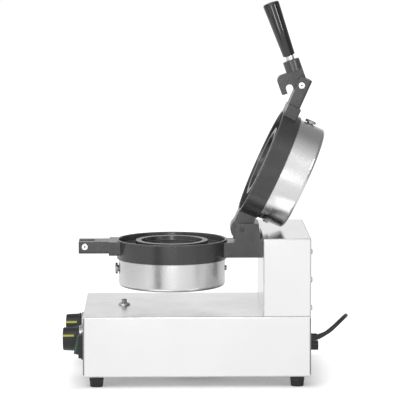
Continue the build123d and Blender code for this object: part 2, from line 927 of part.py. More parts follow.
def make_upper_plate():
    """The upper casting: its plate, its latch boss and the arm with the hinge knuckle."""
    blank = plate_blank(upper_frame)
    boss = front_boss(upper_frame)
    cuts = plate_cuts(upper_frame)
    with BuildPart() as plate:
        add([blank, boss])
        with BuildSketch(side_plane(upper_frame)):
            with Locations((hinge_reach, hinge_rise)):
                Circle(knuckle_radius)
            with Locations(((hinge_reach - arm_front_reach) / 2, (arm_thickness_top + arm_edge_depth) / 2)):
                Rectangle(-hinge_reach - arm_front_reach, arm_thickness_top - arm_edge_depth)
        extrude(amount=knuckle_half_width, both=True)
        add(cuts, mode=Mode.SUBTRACT)
        with BuildSketch(side_plane(upper_frame)):
            with Locations((hinge_reach, hinge_rise)):
                Circle(hinge_bush_radius + press)
        extrude(amount=knuckle_half_width, both=True, mode=Mode.SUBTRACT)
    return plate.part


# Hinge
def hinge_section(x):
    """The plane across the hinge at a place along it."""
    return Plane(origin=(x, hinge_y, hinge_z), x_dir=(0, 1, 0), z_dir=(1, 0, 0))


def make_hinge_pin():
    """The hinge pin, flush with the bracket's cheeks, with a turned centre in each end."""
    with BuildPart() as pin:
        with BuildSketch(hinge_section(-cheek_half_width)):
            Circle(hinge_pin_radius)
        extrude(amount=2 * cheek_half_width)
        right_center = cheek_half_width - hinge_pin_center_depth
        with BuildSketch(hinge_section(-cheek_half_width), hinge_section(right_center)):
            Circle(hinge_pin_center_radius)
        extrude(amount=hinge_pin_center_depth, mode=Mode.SUBTRACT)
    return pin.part


def make_hinge_bushes():
    """The two bushes in the ends of the lid's knuckle."""
    with BuildPart() as bushes:
        right_start = knuckle_half_width - hinge_bush_length
        with BuildSketch(hinge_section(-knuckle_half_width), hinge_section(right_start)):
            Circle(hinge_bush_radius)
            Circle(hinge_pin_radius + fit, mode=Mode.SUBTRACT)
        extrude(amount=hinge_bush_length)
    return bushes.part


# Latch forks, pins and lever
def make_fork(frame, pin_reach, pin_depth):
    """A latch fork: two prongs with the pin's holes, and the tongue that sits in the plate's boss."""
    with BuildPart() as fork:
        with BuildSketch(end_plane(frame, fork_reach)) as section:
            with Locations((0, (fork_near_depth + fork_far_depth) / 2)):
                Rectangle(fork_width, fork_far_depth - fork_near_depth)
            fillet(section.vertices().sort_by(Axis.Y)[-2:], radius=fork_edge_radius)
        extrude(amount=fork_reach - boss_reach)
        with BuildSketch(level_plane(frame, fork_near_depth)):
            with Locations((0, (fork_reach + fork_slot_end) / 2)):
                Rectangle(fork_slot_width, fork_reach - fork_slot_end)
        extrude(amount=fork_far_depth - fork_near_depth, mode=Mode.SUBTRACT)
        with BuildSketch(end_plane(frame, boss_reach)):
            with Locations((0, (tongue_near_depth + tongue_far_depth) / 2)):
                Rectangle(2 * tongue_half_width, tongue_far_depth - tongue_near_depth)
        extrude(amount=tongue_length)
        with BuildSketch(level_plane(frame, tongue_far_depth)):
            with Locations((0, fork_screw_reach)):
                with GridLocations(fork_screw_spacing, 0, 2, 1):
                    Circle(fork_screw_radius + fit)
        screw_hole = fork_screw_length - fork_screw_seat + tongue_far_depth + hole_end_gap
        extrude(amount=-screw_hole, mode=Mode.SUBTRACT)
        with BuildSketch(side_plane(frame)):
            with Locations((pin_reach, pin_depth)):
                Circle(latch_pin_radius + fit)
        extrude(amount=fork_width / 2, both=True, mode=Mode.SUBTRACT)
    return fork.part


def make_fork_screws(frame):
    """The two screws that hold a fork's tongue, sunk in the boss from behind."""
    spots = grid_spots(fork_screw_spacing, 0, 2, 1, center_y=fork_screw_reach)
    return screw_set(
        level_plane(frame, fork_screw_seat), spots, fork_screw_radius, fork_screw_head_radius,
        fork_screw_head_height, fork_screw_length,
    )


def make_latch_pin(frame, reach, depth):
    """A pin across a fork with a flat head on each end."""
    center = plate_point(frame, 0, reach, depth)
    half = fork_width / 2
    with BuildPart() as pin:
        with BuildSketch(Plane(origin=center, x_dir=frame.y_dir, z_dir=frame.x_dir)):
            Circle(latch_pin_radius)
        extrude(amount=half + latch_pin_head_height, both=True)
        for side in (-1, 1):
            outward = frame.x_dir * side
            face = Plane(origin=center + outward * half, x_dir=frame.y_dir, z_dir=outward)
            with BuildSketch(face):
                Circle(latch_pin_head_radius)
            extrude(amount=latch_pin_head_height)
            with BuildSketch(face.offset(latch_pin_head_height)):
                Circle(latch_pin_center_radius)
            extrude(amount=-latch_pin_center_depth, mode=Mode.SUBTRACT)
    return pin.part


latch_pivot = plate_point(upper_frame, 0, latch_pivot_reach, latch_pivot_depth)
lever_u = Vector(0, cos(radians(lever_lean)), sin(radians(lever_lean)))
lever_v = Vector(0, -sin(radians(lever_lean)), cos(radians(lever_lean)))
lever_plane = Plane(origin=latch_pivot, x_dir=lever_u, z_dir=(1, 0, 0))
grip_start = lever_top + collar_height + grip_nut_height


def lever_station(v):
    """The plane across the lever's grip line at a distance from the pivot."""
    return Plane(origin=latch_pivot + lever_u * collar_offset + lever_v * v, x_dir=(1, 0, 0), z_dir=lever_v)


def make_latch_lever():
    """The hooked latch lever with its collar: the hook's throat opens away from the grip."""
    throat_left = hook_center_u - hook_radius
    throat_right = hook_center_u + hook_radius
    with BuildPart() as lever:
        with BuildSketch(lever_plane) as side:
            with BuildLine():
                Polyline(
                    (-lever_front, lever_top),
                    (-lever_front, -lip_end),
                    (throat_right, -lip_end),
                    (throat_right, mouth_corner_v),
                    (-heel_step, -heel_step),
                    (lever_heel_radius, 0),
                    (lever_heel_radius, lever_top),
                    close=True,
                )
            make_face()
            fillet(side.vertices().sort_by(Axis.X)[:2].sort_by(Axis.Y)[-1], radius=lever_corner_radius)
            fillet(side.vertices().sort_by(Axis.X)[:2].sort_by(Axis.Y)[0], radius=lip_edge_radius)
            Circle(lever_heel_radius)
            with Locations((hook_center_u, hook_center_v)):
                Circle(hook_radius, mode=Mode.SUBTRACT)
            with Locations((hook_center_u, (hook_center_v - lip_end - cut_overrun) / 2)):
                Rectangle(
                    throat_right - throat_left,
                    hook_center_v + lip_end + cut_overrun,
                    mode=Mode.SUBTRACT,
                )
            Circle(latch_pin_radius + fit, mode=Mode.SUBTRACT)
        extrude(amount=lever_thickness / 2, both=True)
        with BuildSketch(lever_station(lever_top)):
            Circle(collar_radius)
        extrude(amount=collar_height)
        collar_faces = lever.faces().filter_by(GeomType.PLANE).sort_by(Axis(latch_pivot, lever_v))
        fillet(collar_faces[-1].edges(), radius=collar_edge_radius)
        with BuildSketch(lever_station(lever_top + collar_height)):
            Circle(stud_radius + fit)
        extrude(amount=-stud_sunk - hole_end_gap, mode=Mode.SUBTRACT)
    return lever.part


def make_grip_stud():
    """The stud that joins the grip to the lever's collar."""
    with BuildPart() as stud:
        with BuildSketch(lever_station(lever_top + collar_height - stud_sunk)):
            Circle(stud_radius)
        extrude(amount=stud_length)
    return stud.part


def make_grip_nut():
    """The bright round nut between the collar and the grip."""
    with BuildPart() as nut:
        with BuildSketch(lever_station(lever_top + collar_height)):
            Circle(grip_nut_radius)
            Circle(stud_radius + fit, mode=Mode.SUBTRACT)
        extrude(amount=grip_nut_height)
        outer = nut.edges().filter_by(GeomType.CIRCLE).sort_by(SortBy.RADIUS)[-2:]
        chamfer(outer, length=grip_nut_bevel)
    return nut.part


def make_handle_grip():
    """The tapered grip, thicker at its top, with a low dome."""
    dome = grip_length - grip_dome
    shoulder = [(grip_top_radius - inward, dome - below) for inward, below in grip_shoulder]
    with BuildPart() as grip:
        with BuildSketch(Plane(origin=lever_station(grip_start).origin, x_dir=(1, 0, 0), z_dir=lever_u * -1)):
            with BuildLine():
                Polyline(
                    (0, grip_length),
                    (0, 0),
                    (grip_bottom_radius - grip_bottom_bevel, 0),
                    (grip_bottom_radius, grip_bottom_bevel),
                    *shoulder,
                )
                TangentArc((0, grip_length), shoulder[-1], tangent=(1, 0))
            make_face()
        revolve(axis=Axis(lever_station(grip_start).origin, lever_v))
        with BuildSketch(lever_station(grip_start)):
            Circle(stud_radius + fit)
        extrude(amount=stud_length - stud_sunk - grip_nut_height + hole_end_gap, mode=Mode.SUBTRACT)
    return grip.part


# Steel housings and the heating parts in them
def make_housing(frame):
    """The spun steel housing under a plate, open where it fits over the plate's spigot."""
    with BuildPart() as housing:
        with BuildSketch(level_plane(frame, band_height)):
            Circle(housing_radius)
        extrude(amount=housing_depth - band_height)
        ends = housing.faces().filter_by(GeomType.PLANE).sort_by(plate_axis(frame))
        fillet(ends[-1].edges(), radius=housing_edge_radius)
        ends = housing.faces().filter_by(GeomType.PLANE).sort_by(plate_axis(frame))
        offset(amount=-housing_sheet, openings=ends[0])
        with BuildSketch(outward_plane(frame, housing_radius, housing_bolt_depth)):
            Circle(bolt_shank_radius + fit)
        extrude(amount=-2 * housing_sheet, mode=Mode.SUBTRACT)
        with BuildSketch(outward_plane(frame, -housing_radius, housing_bolt_depth)):
            Circle(rear_screw_radius + fit)
        extrude(amount=-2 * housing_sheet, mode=Mode.SUBTRACT)
    return housing.part


def make_housing_bolt(frame):
    """The washer-headed bolt at a housing's front, with its spacer."""
    seat = outward_plane(frame, housing_radius, housing_bolt_depth)
    with BuildPart() as bolt:
        with BuildSketch(seat.offset(fit)):
            Circle(bolt_spacer_radius)
        extrude(amount=bolt_spacer_height)
        with BuildSketch(seat.offset(bolt_spacer_height)):
            Circle(bolt_head_radius)
        extrude(amount=bolt_head_height)
        fillet(bolt.faces().sort_by(Axis(seat.origin, seat.z_dir))[-1].edges(), radius=bolt_head_edge_radius)
        with BuildSketch(seat.offset(fit)):
            Circle(bolt_shank_radius)
        extrude(amount=-(housing_radius - strap_reach + strap_thickness + fit))
        with BuildSketch(seat.offset(bolt_spacer_height + bolt_head_height)):
            RegularPolygon(bolt_shank_radius, 6)
        extrude(amount=-bolt_socket_depth, mode=Mode.SUBTRACT)
    return bolt.part


def make_housing_screw(frame):
    """The small screw at a housing's back."""
    seat = outward_plane(frame, -housing_radius, housing_bolt_depth)
    length = housing_radius - strap_reach + strap_thickness
    return pan_screw(
        seat.offset(fit), rear_screw_radius, rear_screw_head_radius, rear_screw_head_height, length
    )


def make_strap(frame):
    """The strap that clamps the element and whose two legs hold the housing's bolt and screw."""
    inner_reach = strap_reach - strap_thickness
    with BuildPart() as strap:
        with BuildSketch(side_plane(frame)):
            with BuildLine():
                Polyline(
                    (-strap_reach, strap_depth),
                    (strap_reach, strap_depth),
                    (strap_reach, strap_leg_end),
                    (inner_reach, strap_leg_end),
                    (inner_reach, strap_depth + strap_thickness),
                    (-inner_reach, strap_depth + strap_thickness),
                    (-inner_reach, strap_leg_end),
                    (-strap_reach, strap_leg_end),
                    close=True,
                )
            make_face()
        extrude(amount=strap_width / 2, both=True)
        with BuildSketch(level_plane(frame, strap_depth)):
            Circle(strap_screw_radius + fit)
        extrude(amount=strap_thickness, mode=Mode.SUBTRACT)
        with BuildSketch(outward_plane(frame, strap_reach, housing_bolt_depth)):
            Circle(bolt_shank_radius + fit)
        extrude(amount=-strap_thickness, mode=Mode.SUBTRACT)
        with BuildSketch(outward_plane(frame, -strap_reach, housing_bolt_depth)):
            Circle(rear_screw_radius + fit)
        extrude(amount=-strap_thickness, mode=Mode.SUBTRACT)
    return strap.part


def make_strap_screw(frame):
    """The screw that pulls the strap onto the plate's stem."""
    return pan_screw(
        level_plane(frame, strap_depth + strap_thickness), strap_screw_radius, strap_screw_head_radius,
        strap_screw_head_height, strap_screw_length,
    )


def make_element(frame):
    """The tubular heating element: an open ring under the plate with its two ends turned down."""
    gap = radians(element_gap_half_angle)
    lead = gap + element_radius / element_ring_radius
    lead_x = element_ring_radius * cos(lead)
    lead_reach = element_ring_radius * sin(lead)
    start = plate_point(frame, element_ring_radius * cos(gap), element_ring_radius * sin(gap), element_depth)
    outward = frame.x_dir * cos(gap) + frame.y_dir * sin(gap)
    along = frame.y_dir * cos(gap) - frame.x_dir * sin(gap)
    with BuildPart() as element:
        with BuildSketch(Plane(origin=start, x_dir=outward, z_dir=along)):
            Circle(element_radius)
        revolve(axis=plate_axis(frame), revolution_arc=360 - 2 * element_gap_half_angle)
        with BuildSketch(level_plane(frame, element_depth)):
            with Locations((lead_x, lead_reach), (lead_x, -lead_reach)):
                Circle(element_radius)
        extrude(amount=element_lead_length)
    return element.part


def make_insulation(frame):
    """The pad of mineral wool that fills the housing's bottom."""
    with BuildPart() as pad:
        with BuildSketch(level_plane(frame, insulation_start)):
            Circle(insulation_radius)
        extrude(amount=housing_depth - housing_sheet - insulation_start)
    return pad.part


def make_probe():
    """The thermostat's sensing tube, held against the lower plate."""
    depth = plate_floor_depth + probe_radius + fit
    with BuildPart() as probe:
        center = plate_point(lower_frame, 0, probe_offset, depth)
        with BuildSketch(Plane(origin=center, x_dir=(0, 1, 0), z_dir=(1, 0, 0))):
            Circle(probe_radius)
        extrude(amount=probe_length / 2, both=True)
    return probe.part


# Front panel
def make_control(x):
    """A rotary control behind the panel, with the threaded bush that its knob's shaft turns in."""
    with BuildPart() as control:
        with BuildSketch(front_panel.offset(-base_sheet)):
            with Locations((x, 0)):
                RectangleRounded(control_size, control_size, control_corner_radius)
        extrude(amount=-control_depth)
        with BuildSketch(front_panel.offset(-base_sheet)):
            with Locations((x, 0)):
                Circle(control_bush_radius)
        extrude(amount=base_sheet + dial_thickness)
        with BuildSketch(front_panel.offset(dial_thickness)):
            with Locations((x, 0)):
                Circle(shaft_radius + fit)
        extrude(amount=-shaft_hole_length, mode=Mode.SUBTRACT)
    return control.part


def make_dial_plates():
    """The two scale plates behind the knobs."""
    with BuildPart() as plates:
        with BuildSketch(front_panel):
            with GridLocations(knob_spacing, 0, 2, 1):
                Circle(dial_radius)
                Circle(control_bush_radius + slip, mode=Mode.SUBTRACT)
        extrude(amount=dial_thickness)
        fronts = plates.faces().sort_by(Axis.Y)[:2]
        rims = [front.edges().sort_by(SortBy.RADIUS)[-1] for front in fronts]
        chamfer(rims, length=dial_edge_bevel)
    return plates.part


def knob_form(x, growth):
    """A knob's outer form, grown all round by a thickness."""
    center = front_panel.from_local_coords((x, 0, knob_seat))
    body_end = knob_depth + growth
    with BuildPart() as form:
        with BuildSketch(Plane(origin=center, x_dir=(1, 0, 0), z_dir=(0, 0, -1))):
            with BuildLine():
                Polyline(
                    (0, 0),
                    (knob_skirt_radius + growth, 0),
                    (knob_skirt_radius + growth, knob_skirt_thickness),
                    (knob_rear_radius + growth, knob_skirt_thickness + knob_skirt_bevel),
                    (knob_front_radius + growth, body_end - knob_edge_radius),
                    (knob_front_radius + growth - knob_edge_radius, body_end),
                    (0, body_end),
                    close=True,
                )
            make_face()
        revolve(axis=Axis(center, (0, 1, 0)))
    return form.part


def make_knob(x):
    """A control knob with its own shaft."""
    form = knob_form(x, 0)
    with BuildPart() as knob:
        add(form)
        with BuildSketch(front_panel.offset(knob_seat)):
            with Locations((x, 0)):
                Circle(shaft_radius)
        extrude(amount=-shaft_length)
    return knob.part


def make_knob_line(x):
    """The raised pointer line, across the knob's front and back along its side."""
    outer = knob_form(x, knob_line_proud)
    inner = knob_form(x, press)
    with BuildPart() as line:
        with BuildSketch(front_panel.offset(knob_seat + knob_depth - knob_line_length)):
            with Locations(Location((x, 0, 0), (0, 0, knob_line_angle))):
                with Locations(((knob_line_inner_radius + knob_rear_radius + cut_overrun) / 2, 0)):
                    Rectangle(knob_rear_radius + cut_overrun - knob_line_inner_radius, knob_line_width)
        extrude(amount=knob_line_length + cut_overrun)
        add(outer, mode=Mode.INTERSECT)
        add(inner, mode=Mode.SUBTRACT)
    return line.part


def make_switch_housing():
    """The rocker switch's body: flange, surround, open window and the sockets of the rocker's axle."""
    center = (switch_x, switch_height - knob_height)
    with BuildPart() as housing:
        with BuildSketch(front_panel):
            with Locations(center):
                RectangleRounded(switch_width, switch_tall, switch_corner_radius)
        extrude(amount=switch_flange)
        with BuildSketch(front_panel):
            with Locations(center):
                RectangleRounded(switch_surround_width, switch_surround_tall, switch_corner_radius)
        extrude(amount=switch_surround)
        with BuildSketch(front_panel):
            with Locations(center):
                Rectangle(switch_width - 2 * switch_lap - 2 * slip, switch_tall - 2 * switch_lap - 2 * slip)
        extrude(amount=-switch_body_depth)
        with BuildSketch(front_panel.offset(switch_surround)):
            with Locations(center):
                Rectangle(switch_window_width, switch_window_tall)
        extrude(amount=-switch_surround - switch_cavity_depth, mode=Mode.SUBTRACT)
        with BuildSketch(rocker_section):
            Circle(rocker_axle_radius + fit)
        extrude(amount=rocker_axle_length / 2 + slip, both=True, mode=Mode.SUBTRACT)
    return housing.part


rocker_center = front_panel.from_local_coords((switch_x, switch_height - knob_height, rocker_pivot_out))
rocker_section = Plane(origin=rocker_center, x_dir=(0, 0, 1), z_dir=(1, 0, 0))


def make_rocker():
    """The switch's rocker with its axle, tipped so that its lower end stands out."""
    half = rocker_tall / 2
    face = rocker_face_out - rocker_pivot_out
    with BuildPart() as rocker:
        with BuildSketch(rocker_section):
            with BuildLine():
                Polyline(
                    (-half, face),
                    (half, face),
                    (half, -rocker_side_depth),
                    (rocker_rear_half_width, -rocker_rear),
                    (-rocker_rear_half_width, -rocker_rear),
                    (-half, -rocker_side_depth),
                    close=True,
                )
            make_face()
        extrude(amount=rocker_width / 2, both=True)
        fillet(rocker.faces().sort_by(Axis.Y)[0].edges(), radius=rocker_edge_radius)
        with BuildSketch(rocker_section):
            Circle(rocker_axle_radius)
        extrude(amount=rocker_axle_length / 2, both=True)
    return rocker.part.rotate(Axis(rocker_center, (1, 0, 0)), -rocker_tilt)


# Rear panel
def make_fuse_holder():
    """The fuse holder's body behind the panel, with its flange and bore."""
    spot = (-fuse_x, fuse_height - gland_height)
    with BuildPart() as holder:
        with BuildSketch(rear_panel):
            with Locations(spot):
                Circle(fuse_cap_radius)
        extrude(amount=fuse_flange)
        with BuildSketch(rear_panel):
            with Locations(spot):
                Circle(fuse_body_radius)
        extrude(amount=-fuse_body_depth)
        with BuildSketch(rear_panel.offset(fuse_flange)):
            with Locations(spot):
                Circle(fuse_bore_radius)
        extrude(amount=-fuse_bore_depth, mode=Mode.SUBTRACT)
    return holder.part


def make_fuse_cap():
    """The fluted cap of the fuse holder, with the stem that turns in its bore."""
    spot = (-fuse_x, fuse_height - gland_height)
    with BuildPart() as cap:
        with BuildSketch(rear_panel.offset(fuse_flange + slip)):
            with Locations(spot):
                Circle(fuse_cap_radius)
                with PolarLocations(fuse_cap_radius, fuse_flute_count):
                    Circle(fuse_flute_radius, mode=Mode.SUBTRACT)
        extrude(amount=fuse_cap_out - fuse_flange - slip)
        with BuildSketch(rear_panel.offset(fuse_flange + slip)):
            with Locations(spot):
                Circle(fuse_stem_radius)
        extrude(amount=-fuse_stem_length)
    return cap.part


gland_root = rear_panel.offset(gland_body)


def gland_station(share):
    """The plane across the gland's sleeve, which bends up as it leaves the body."""
    tilt = radians(gland_bend * share)
    radius = gland_sleeve / radians(gland_bend)
    rise = radius * (1 - cos(tilt))
    run = radius * sin(tilt)
    normal = (0, cos(tilt), sin(tilt))
    return Plane(origin=gland_root.origin + Vector(0, run, rise), x_dir=(-1, 0, 0), z_dir=normal)


def make_gland():
    """The cord gland: its thread through the panel, its body and the bent, tapered sleeve."""
    with BuildPart() as gland:
        with BuildSketch(rear_panel):
            Circle(gland_radius)
        extrude(amount=gland_body)
        with BuildSketch(rear_panel):
            Circle(gland_thread_radius)
        extrude(amount=-gland_thread_length)
        for share in (0, 0.5, 1):
            with BuildSketch(gland_station(share)):
                Circle(gland_radius + (gland_tip_radius - gland_radius) * share)
        loft()
    return gland.part


def make_gland_nut():
    """The nut that holds the gland from inside the base."""
    with BuildPart() as nut:
        with BuildSketch(rear_panel.offset(-base_sheet)):
            RegularPolygon(gland_nut_across / 2, 6, major_radius=False)
            Circle(gland_thread_radius + fit, mode=Mode.SUBTRACT)
        extrude(amount=-gland_nut_height)
    return nut.part


def make_terminal_block():
    """The terminal block on the bottom plate, with its row of wire entries."""
    with BuildPart() as block:
        with BuildSketch(Plane.XY.offset(base_bottom)):
            with Locations((0, base_center_y + terminal_y)):
                Rectangle(terminal_width, terminal_depth)
        extrude(amount=terminal_height)
        with BuildSketch(Plane.XY.offset(base_bottom + terminal_height)):
            with Locations((0, base_center_y + terminal_y)):
                with GridLocations(terminal_pitch, 0, terminal_count, 1):
                    Circle(terminal_hole_radius)
        extrude(amount=-terminal_height / 2, mode=Mode.SUBTRACT)
    return block.part


# Power cord
cord_exit = gland_station(1)


def cord_route():
    """The points of the free cord, from the gland's end to the coil."""
    start = cord_exit.origin
    points = [start, start + cord_exit.z_dir * cord_first_run]
    points += [start + Vector(*shift) for shift in cord_arch]
    points += [Vector(start.X + x, start.Y + y, cord_lie) for x, y in cord_landing]
    return points


def corner_radii(points):
    """The radius of each corner: what its share of the shorter run allows."""
    radii = []
    for before, corner, after in zip(points, points[1:], points[2:]):
        into = corner - before
        out = after - corner
        half_turn = radians(into.get_angle(out) / 2)
        radii.append(cord_corner_share * min(into.length, out.length) / tan(half_turn))
    return radii


def make_cord():
    """The free cord, as straight runs joined by tangent arcs."""
    points = cord_route()
    radii = corner_radii(points)
    with BuildPart() as cord:
        with BuildLine() as path:
            FilletPolyline(*points, radius=radii)
        with BuildSketch(cord_exit):
            Circle(cord_radius)
        sweep(path=path.wire())
    length = path.wire().length
    share = cord.part.volume / (pi * cord_radius**2 * length)
    print("cord corner radii", [round(radius, 1) for radius in radii])
    print("cord length", round(length, 1), "volume share", round(share, 4))
    return cord.part


coil_turns = 2 * coil_turns_in + coil_climb_turns
coil_heading = (cord_route()[-1] - cord_route()[-2]).normalized()
coil_side = coil_heading.cross(Vector(0, 0, 1))
coil_center = cord_route()[-1] + coil_heading * coil_start_straight + coil_side * coil_radius


def coil_shape(turn):
    """The coil's radius and rise after a number of turns: in, up a layer, and out again."""
    inner = coil_radius - coil_pitch * coil_turns_in
    climbed = turn - coil_turns_in
    if climbed < 0:
        return coil_radius - coil_pitch * turn, 0.0
    if climbed > coil_climb_turns:
        return inner + coil_pitch * (climbed - coil_climb_turns), coil_layer_step
    share = climbed / coil_climb_turns
    dip = coil_pitch * coil_climb_turns * (share - share**2)
    return inner - dip, coil_layer_step * share**2 * (3 - 2 * share)


def coil_point(turn):
    """A point of the coil's centre line after a number of turns."""
    radius, rise = coil_shape(turn)
    angle = 2 * pi * turn
    across = coil_heading * (radius * sin(angle)) - coil_side * (radius * cos(angle))
    return coil_center + across + Vector(0, 0, rise)


def coil_tangent(turn):
    """The coil's direction after a number of turns, square to the radius at its two ends."""
    if turn == 0:
        return coil_heading
    if turn == coil_turns:
        return coil_heading * -cos(2 * pi * (turn + 0.5))
    step = 0.0005
    return (coil_point(turn + step) - coil_point(turn - step)).normalized()


def biarc_parts(start, start_dir, end, end_dir):
    """The middle point and middle direction of the two arcs that join two points along two directions."""
    chord = end - start
    both = start_dir + end_dir
    square = 2 * (1 - start_dir.dot(end_dir))
    along = chord.dot(both)
    reach = (sqrt(along**2 + square * chord.dot(chord)) - along) / square
    first = start + start_dir * reach
    last = end - end_dir * reach
    return (first + last) * 0.5, (last - first).normalized()


def coil_ends():
    """The coil's first and last points, at the far ends of its straight leads."""
    first = coil_point(0) - coil_heading * coil_start_straight
    last = coil_point(coil_turns) + coil_tangent(coil_turns) * coil_end_straight
    return first, last


def least_self_gap(wire, length):
    """The least gap between parts of the coil that are more than a third of a turn apart along it."""
    count = 900
    points = [wire.position_at(i / count) for i in range(count + 1)]
    apart = int(count * 2 * pi * (coil_radius - coil_pitch * coil_turns_in) / 3 / length)
    gaps = [
        (points[i] - points[j]).length
        for i in range(count + 1)
        for j in range(i + apart, count + 1)
    ]
    return min(gaps) - 2 * cord_radius


def make_coil():
    """The coil of spare cord: one tube wound in on the bench and out again on top."""
    first, last = coil_ends()
    quarters = round(coil_turns * 4)
    with BuildPart() as coil:
        with BuildLine() as path:
            Line(first, coil_point(0))
            for quarter in range(quarters):
                start, end = coil_point(quarter / 4), coil_point((quarter + 1) / 4)
                start_dir, end_dir = coil_tangent(quarter / 4), coil_tangent((quarter + 1) / 4)
                middle, middle_dir = biarc_parts(start, start_dir, end, end_dir)
                TangentArc(start, middle, tangent=start_dir)
                TangentArc(middle, end, tangent=middle_dir)
            Line(coil_point(coil_turns), last)
        with BuildSketch(Plane(origin=first, z_dir=coil_heading)):
            Circle(cord_radius)
        sweep(path=path.wire())
    length = path.wire().length
    share = coil.part.volume / (pi * cord_radius**2 * length)
    print("coil length", round(length, 1), "volume share", round(share, 4))
    print("coil least gap to itself", round(least_self_gap(path.wire(), length), 3))
    return coil.part


plug_heading = coil_tangent(coil_turns)
plug_root = Plane(origin=coil_ends()[1], x_dir=plug_heading.cross(Vector(0, 0, 1)), z_dir=plug_heading)
plug_face = plug_root.offset(plug_relief_length + plug_length)


def make_plug_body():
    """The moulded plug with its tapered relief, lying beside the coil."""
    tall = 2 * plug_root.origin.Z
    with BuildPart() as plug:
        with BuildSketch(plug_root):
            Circle(plug_relief_radius)
        with BuildSketch(plug_root.offset(plug_relief_length)):
            Circle(plug_relief_base_radius)
        loft()
        with BuildSketch(plug_root.offset(plug_relief_length)):
            RectangleRounded(plug_width, tall, plug_corner_radius)
        extrude(amount=plug_length)
        lengthwise = Axis(plug_root.origin, plug_heading)
        ends = plug.faces().filter_by(lengthwise).sort_by(lengthwise)
        chamfer(ends[-1].edges(), length=plug_edge_bevel)
    return plug.part


def make_plug_pins():
    """The plug's two flat blades and its round earth pin."""
    with BuildPart() as pins:
        with BuildSketch(plug_face):
            with Locations((0, -blade_drop)):
                with GridLocations(blade_spacing, 0, 2, 1):
                    Rectangle(blade_thickness, blade_width)
        extrude(amount=blade_length)
        with BuildSketch(plug_face):
            with Locations((0, earth_pin_rise)):
                Circle(earth_pin_radius)
        extrude(amount=earth_pin_length)
    return pins.part


knob_x = knob_spacing / 2
pieces = {
    "base_shell": make_base_shell(),
    "bottom_plate": make_bottom_plate(),
    "bottom_plate_screws": make_plate_screws(),
    "rubber_feet": make_feet(),
    "foot_screws": make_foot_screws(),
    "deck_cup_washer": make_deck_washer(),
    "deck_screw": make_deck_screw(),
    "tower_shell": make_tower_shell(),
    "tower_back_cover": make_tower_cover(),
    "tower_cover_screws": make_cover_screws(),
    "tower_stiffener": make_stiffener(),
    "bracket_bolts": make_bracket_bolts(),
    "lower_plate": make_lower_plate(),
    "upper_plate": make_upper_plate(),
    "hinge_pin": make_hinge_pin(),
    "hinge_bushes": make_hinge_bushes(),
    "lower_latch_fork": make_fork(lower_frame, lower_pin_reach, lower_pin_depth),
    "lower_latch_pin": make_latch_pin(lower_frame, lower_pin_reach, lower_pin_depth),
    "upper_latch_fork": make_fork(upper_frame, latch_pivot_reach, latch_pivot_depth),
    "latch_pivot_pin": make_latch_pin(upper_frame, latch_pivot_reach, latch_pivot_depth),
    "latch_lever": make_latch_lever(),
    "grip_stud": make_grip_stud(),
    "grip_nut": make_grip_nut(),
    "handle_grip": make_handle_grip(),
    "thermostat_probe": make_probe(),
    "thermostat_body": make_control(-knob_x),
    "timer_body": make_control(knob_x),
    "dial_plates": make_dial_plates(),
    "thermostat_knob": make_knob(-knob_x),
    "thermostat_knob_line": make_knob_line(-knob_x),
    "timer_knob": make_knob(knob_x),
    "timer_knob_line": make_knob_line(knob_x),
    "switch_housing": make_switch_housing(),
    "power_rocker": make_rocker(),
    "fuse_holder_body": make_fuse_holder(),
    "fuse_cap": make_fuse_cap(),
    "cable_gland": make_gland(),
    "gland_locknut": make_gland_nut(),
    "terminal_block": make_terminal_block(),
    "power_cord": make_cord(),
    "cord_coil": make_coil(),
    "plug_body": make_plug_body(),
    "plug_pins": make_plug_pins(),
}
for side, frame in (("lower", lower_frame), ("upper", upper_frame)):
    pieces[f"{side}_fork_screws"] = make_fork_screws(frame)
    pieces[f"{side}_housing"] = make_housing(frame)
    pieces[f"{side}_housing_bolt"] = make_housing_bolt(frame)
    pieces[f"{side}_housing_screw"] = make_housing_screw(frame)
    pieces[f"{side}_heating_element"] = make_element(frame)
    pieces[f"{side}_strap"] = make_strap(frame)
    pieces[f"{side}_strap_screw"] = make_strap_screw(frame)
    pieces[f"{side}_insulation"] = make_insulation(frame)

os.makedirs("parts", exist_ok=True)
for label, piece in pieces.items():
    piece.label = label
    export_step(piece, f"parts/{label}.step")
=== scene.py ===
"""Dresses the packed ice cream panini press: finishes, finer pieces, camera, floor and light."""

import logging
from dataclasses import dataclass, field
from enum import Enum
from math import radians

import bmesh
import bpy
import numpy as np
from mathutils import Matrix, Vector


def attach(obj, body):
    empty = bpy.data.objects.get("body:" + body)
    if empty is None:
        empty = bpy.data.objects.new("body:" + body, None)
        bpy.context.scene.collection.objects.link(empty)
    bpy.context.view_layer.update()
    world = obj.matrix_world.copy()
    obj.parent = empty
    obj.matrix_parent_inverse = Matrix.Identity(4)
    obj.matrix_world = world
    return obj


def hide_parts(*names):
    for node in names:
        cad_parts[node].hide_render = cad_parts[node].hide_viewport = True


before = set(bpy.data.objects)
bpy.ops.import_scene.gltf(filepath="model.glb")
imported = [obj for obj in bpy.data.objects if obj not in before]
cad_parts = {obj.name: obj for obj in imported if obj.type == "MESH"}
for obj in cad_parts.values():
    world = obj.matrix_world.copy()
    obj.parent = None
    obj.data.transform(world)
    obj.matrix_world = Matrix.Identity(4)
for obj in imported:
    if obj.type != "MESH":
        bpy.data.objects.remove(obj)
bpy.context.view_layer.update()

log = logging.getLogger("panini_press")
Point = tuple[float, float, float]
Span = tuple[float, float]
Socket = bpy.types.NodeSocket
Tree = bpy.types.NodeTree
Material = bpy.types.Material

bevel_samples = 4
number_results = ("DOT_PRODUCT", "LENGTH")


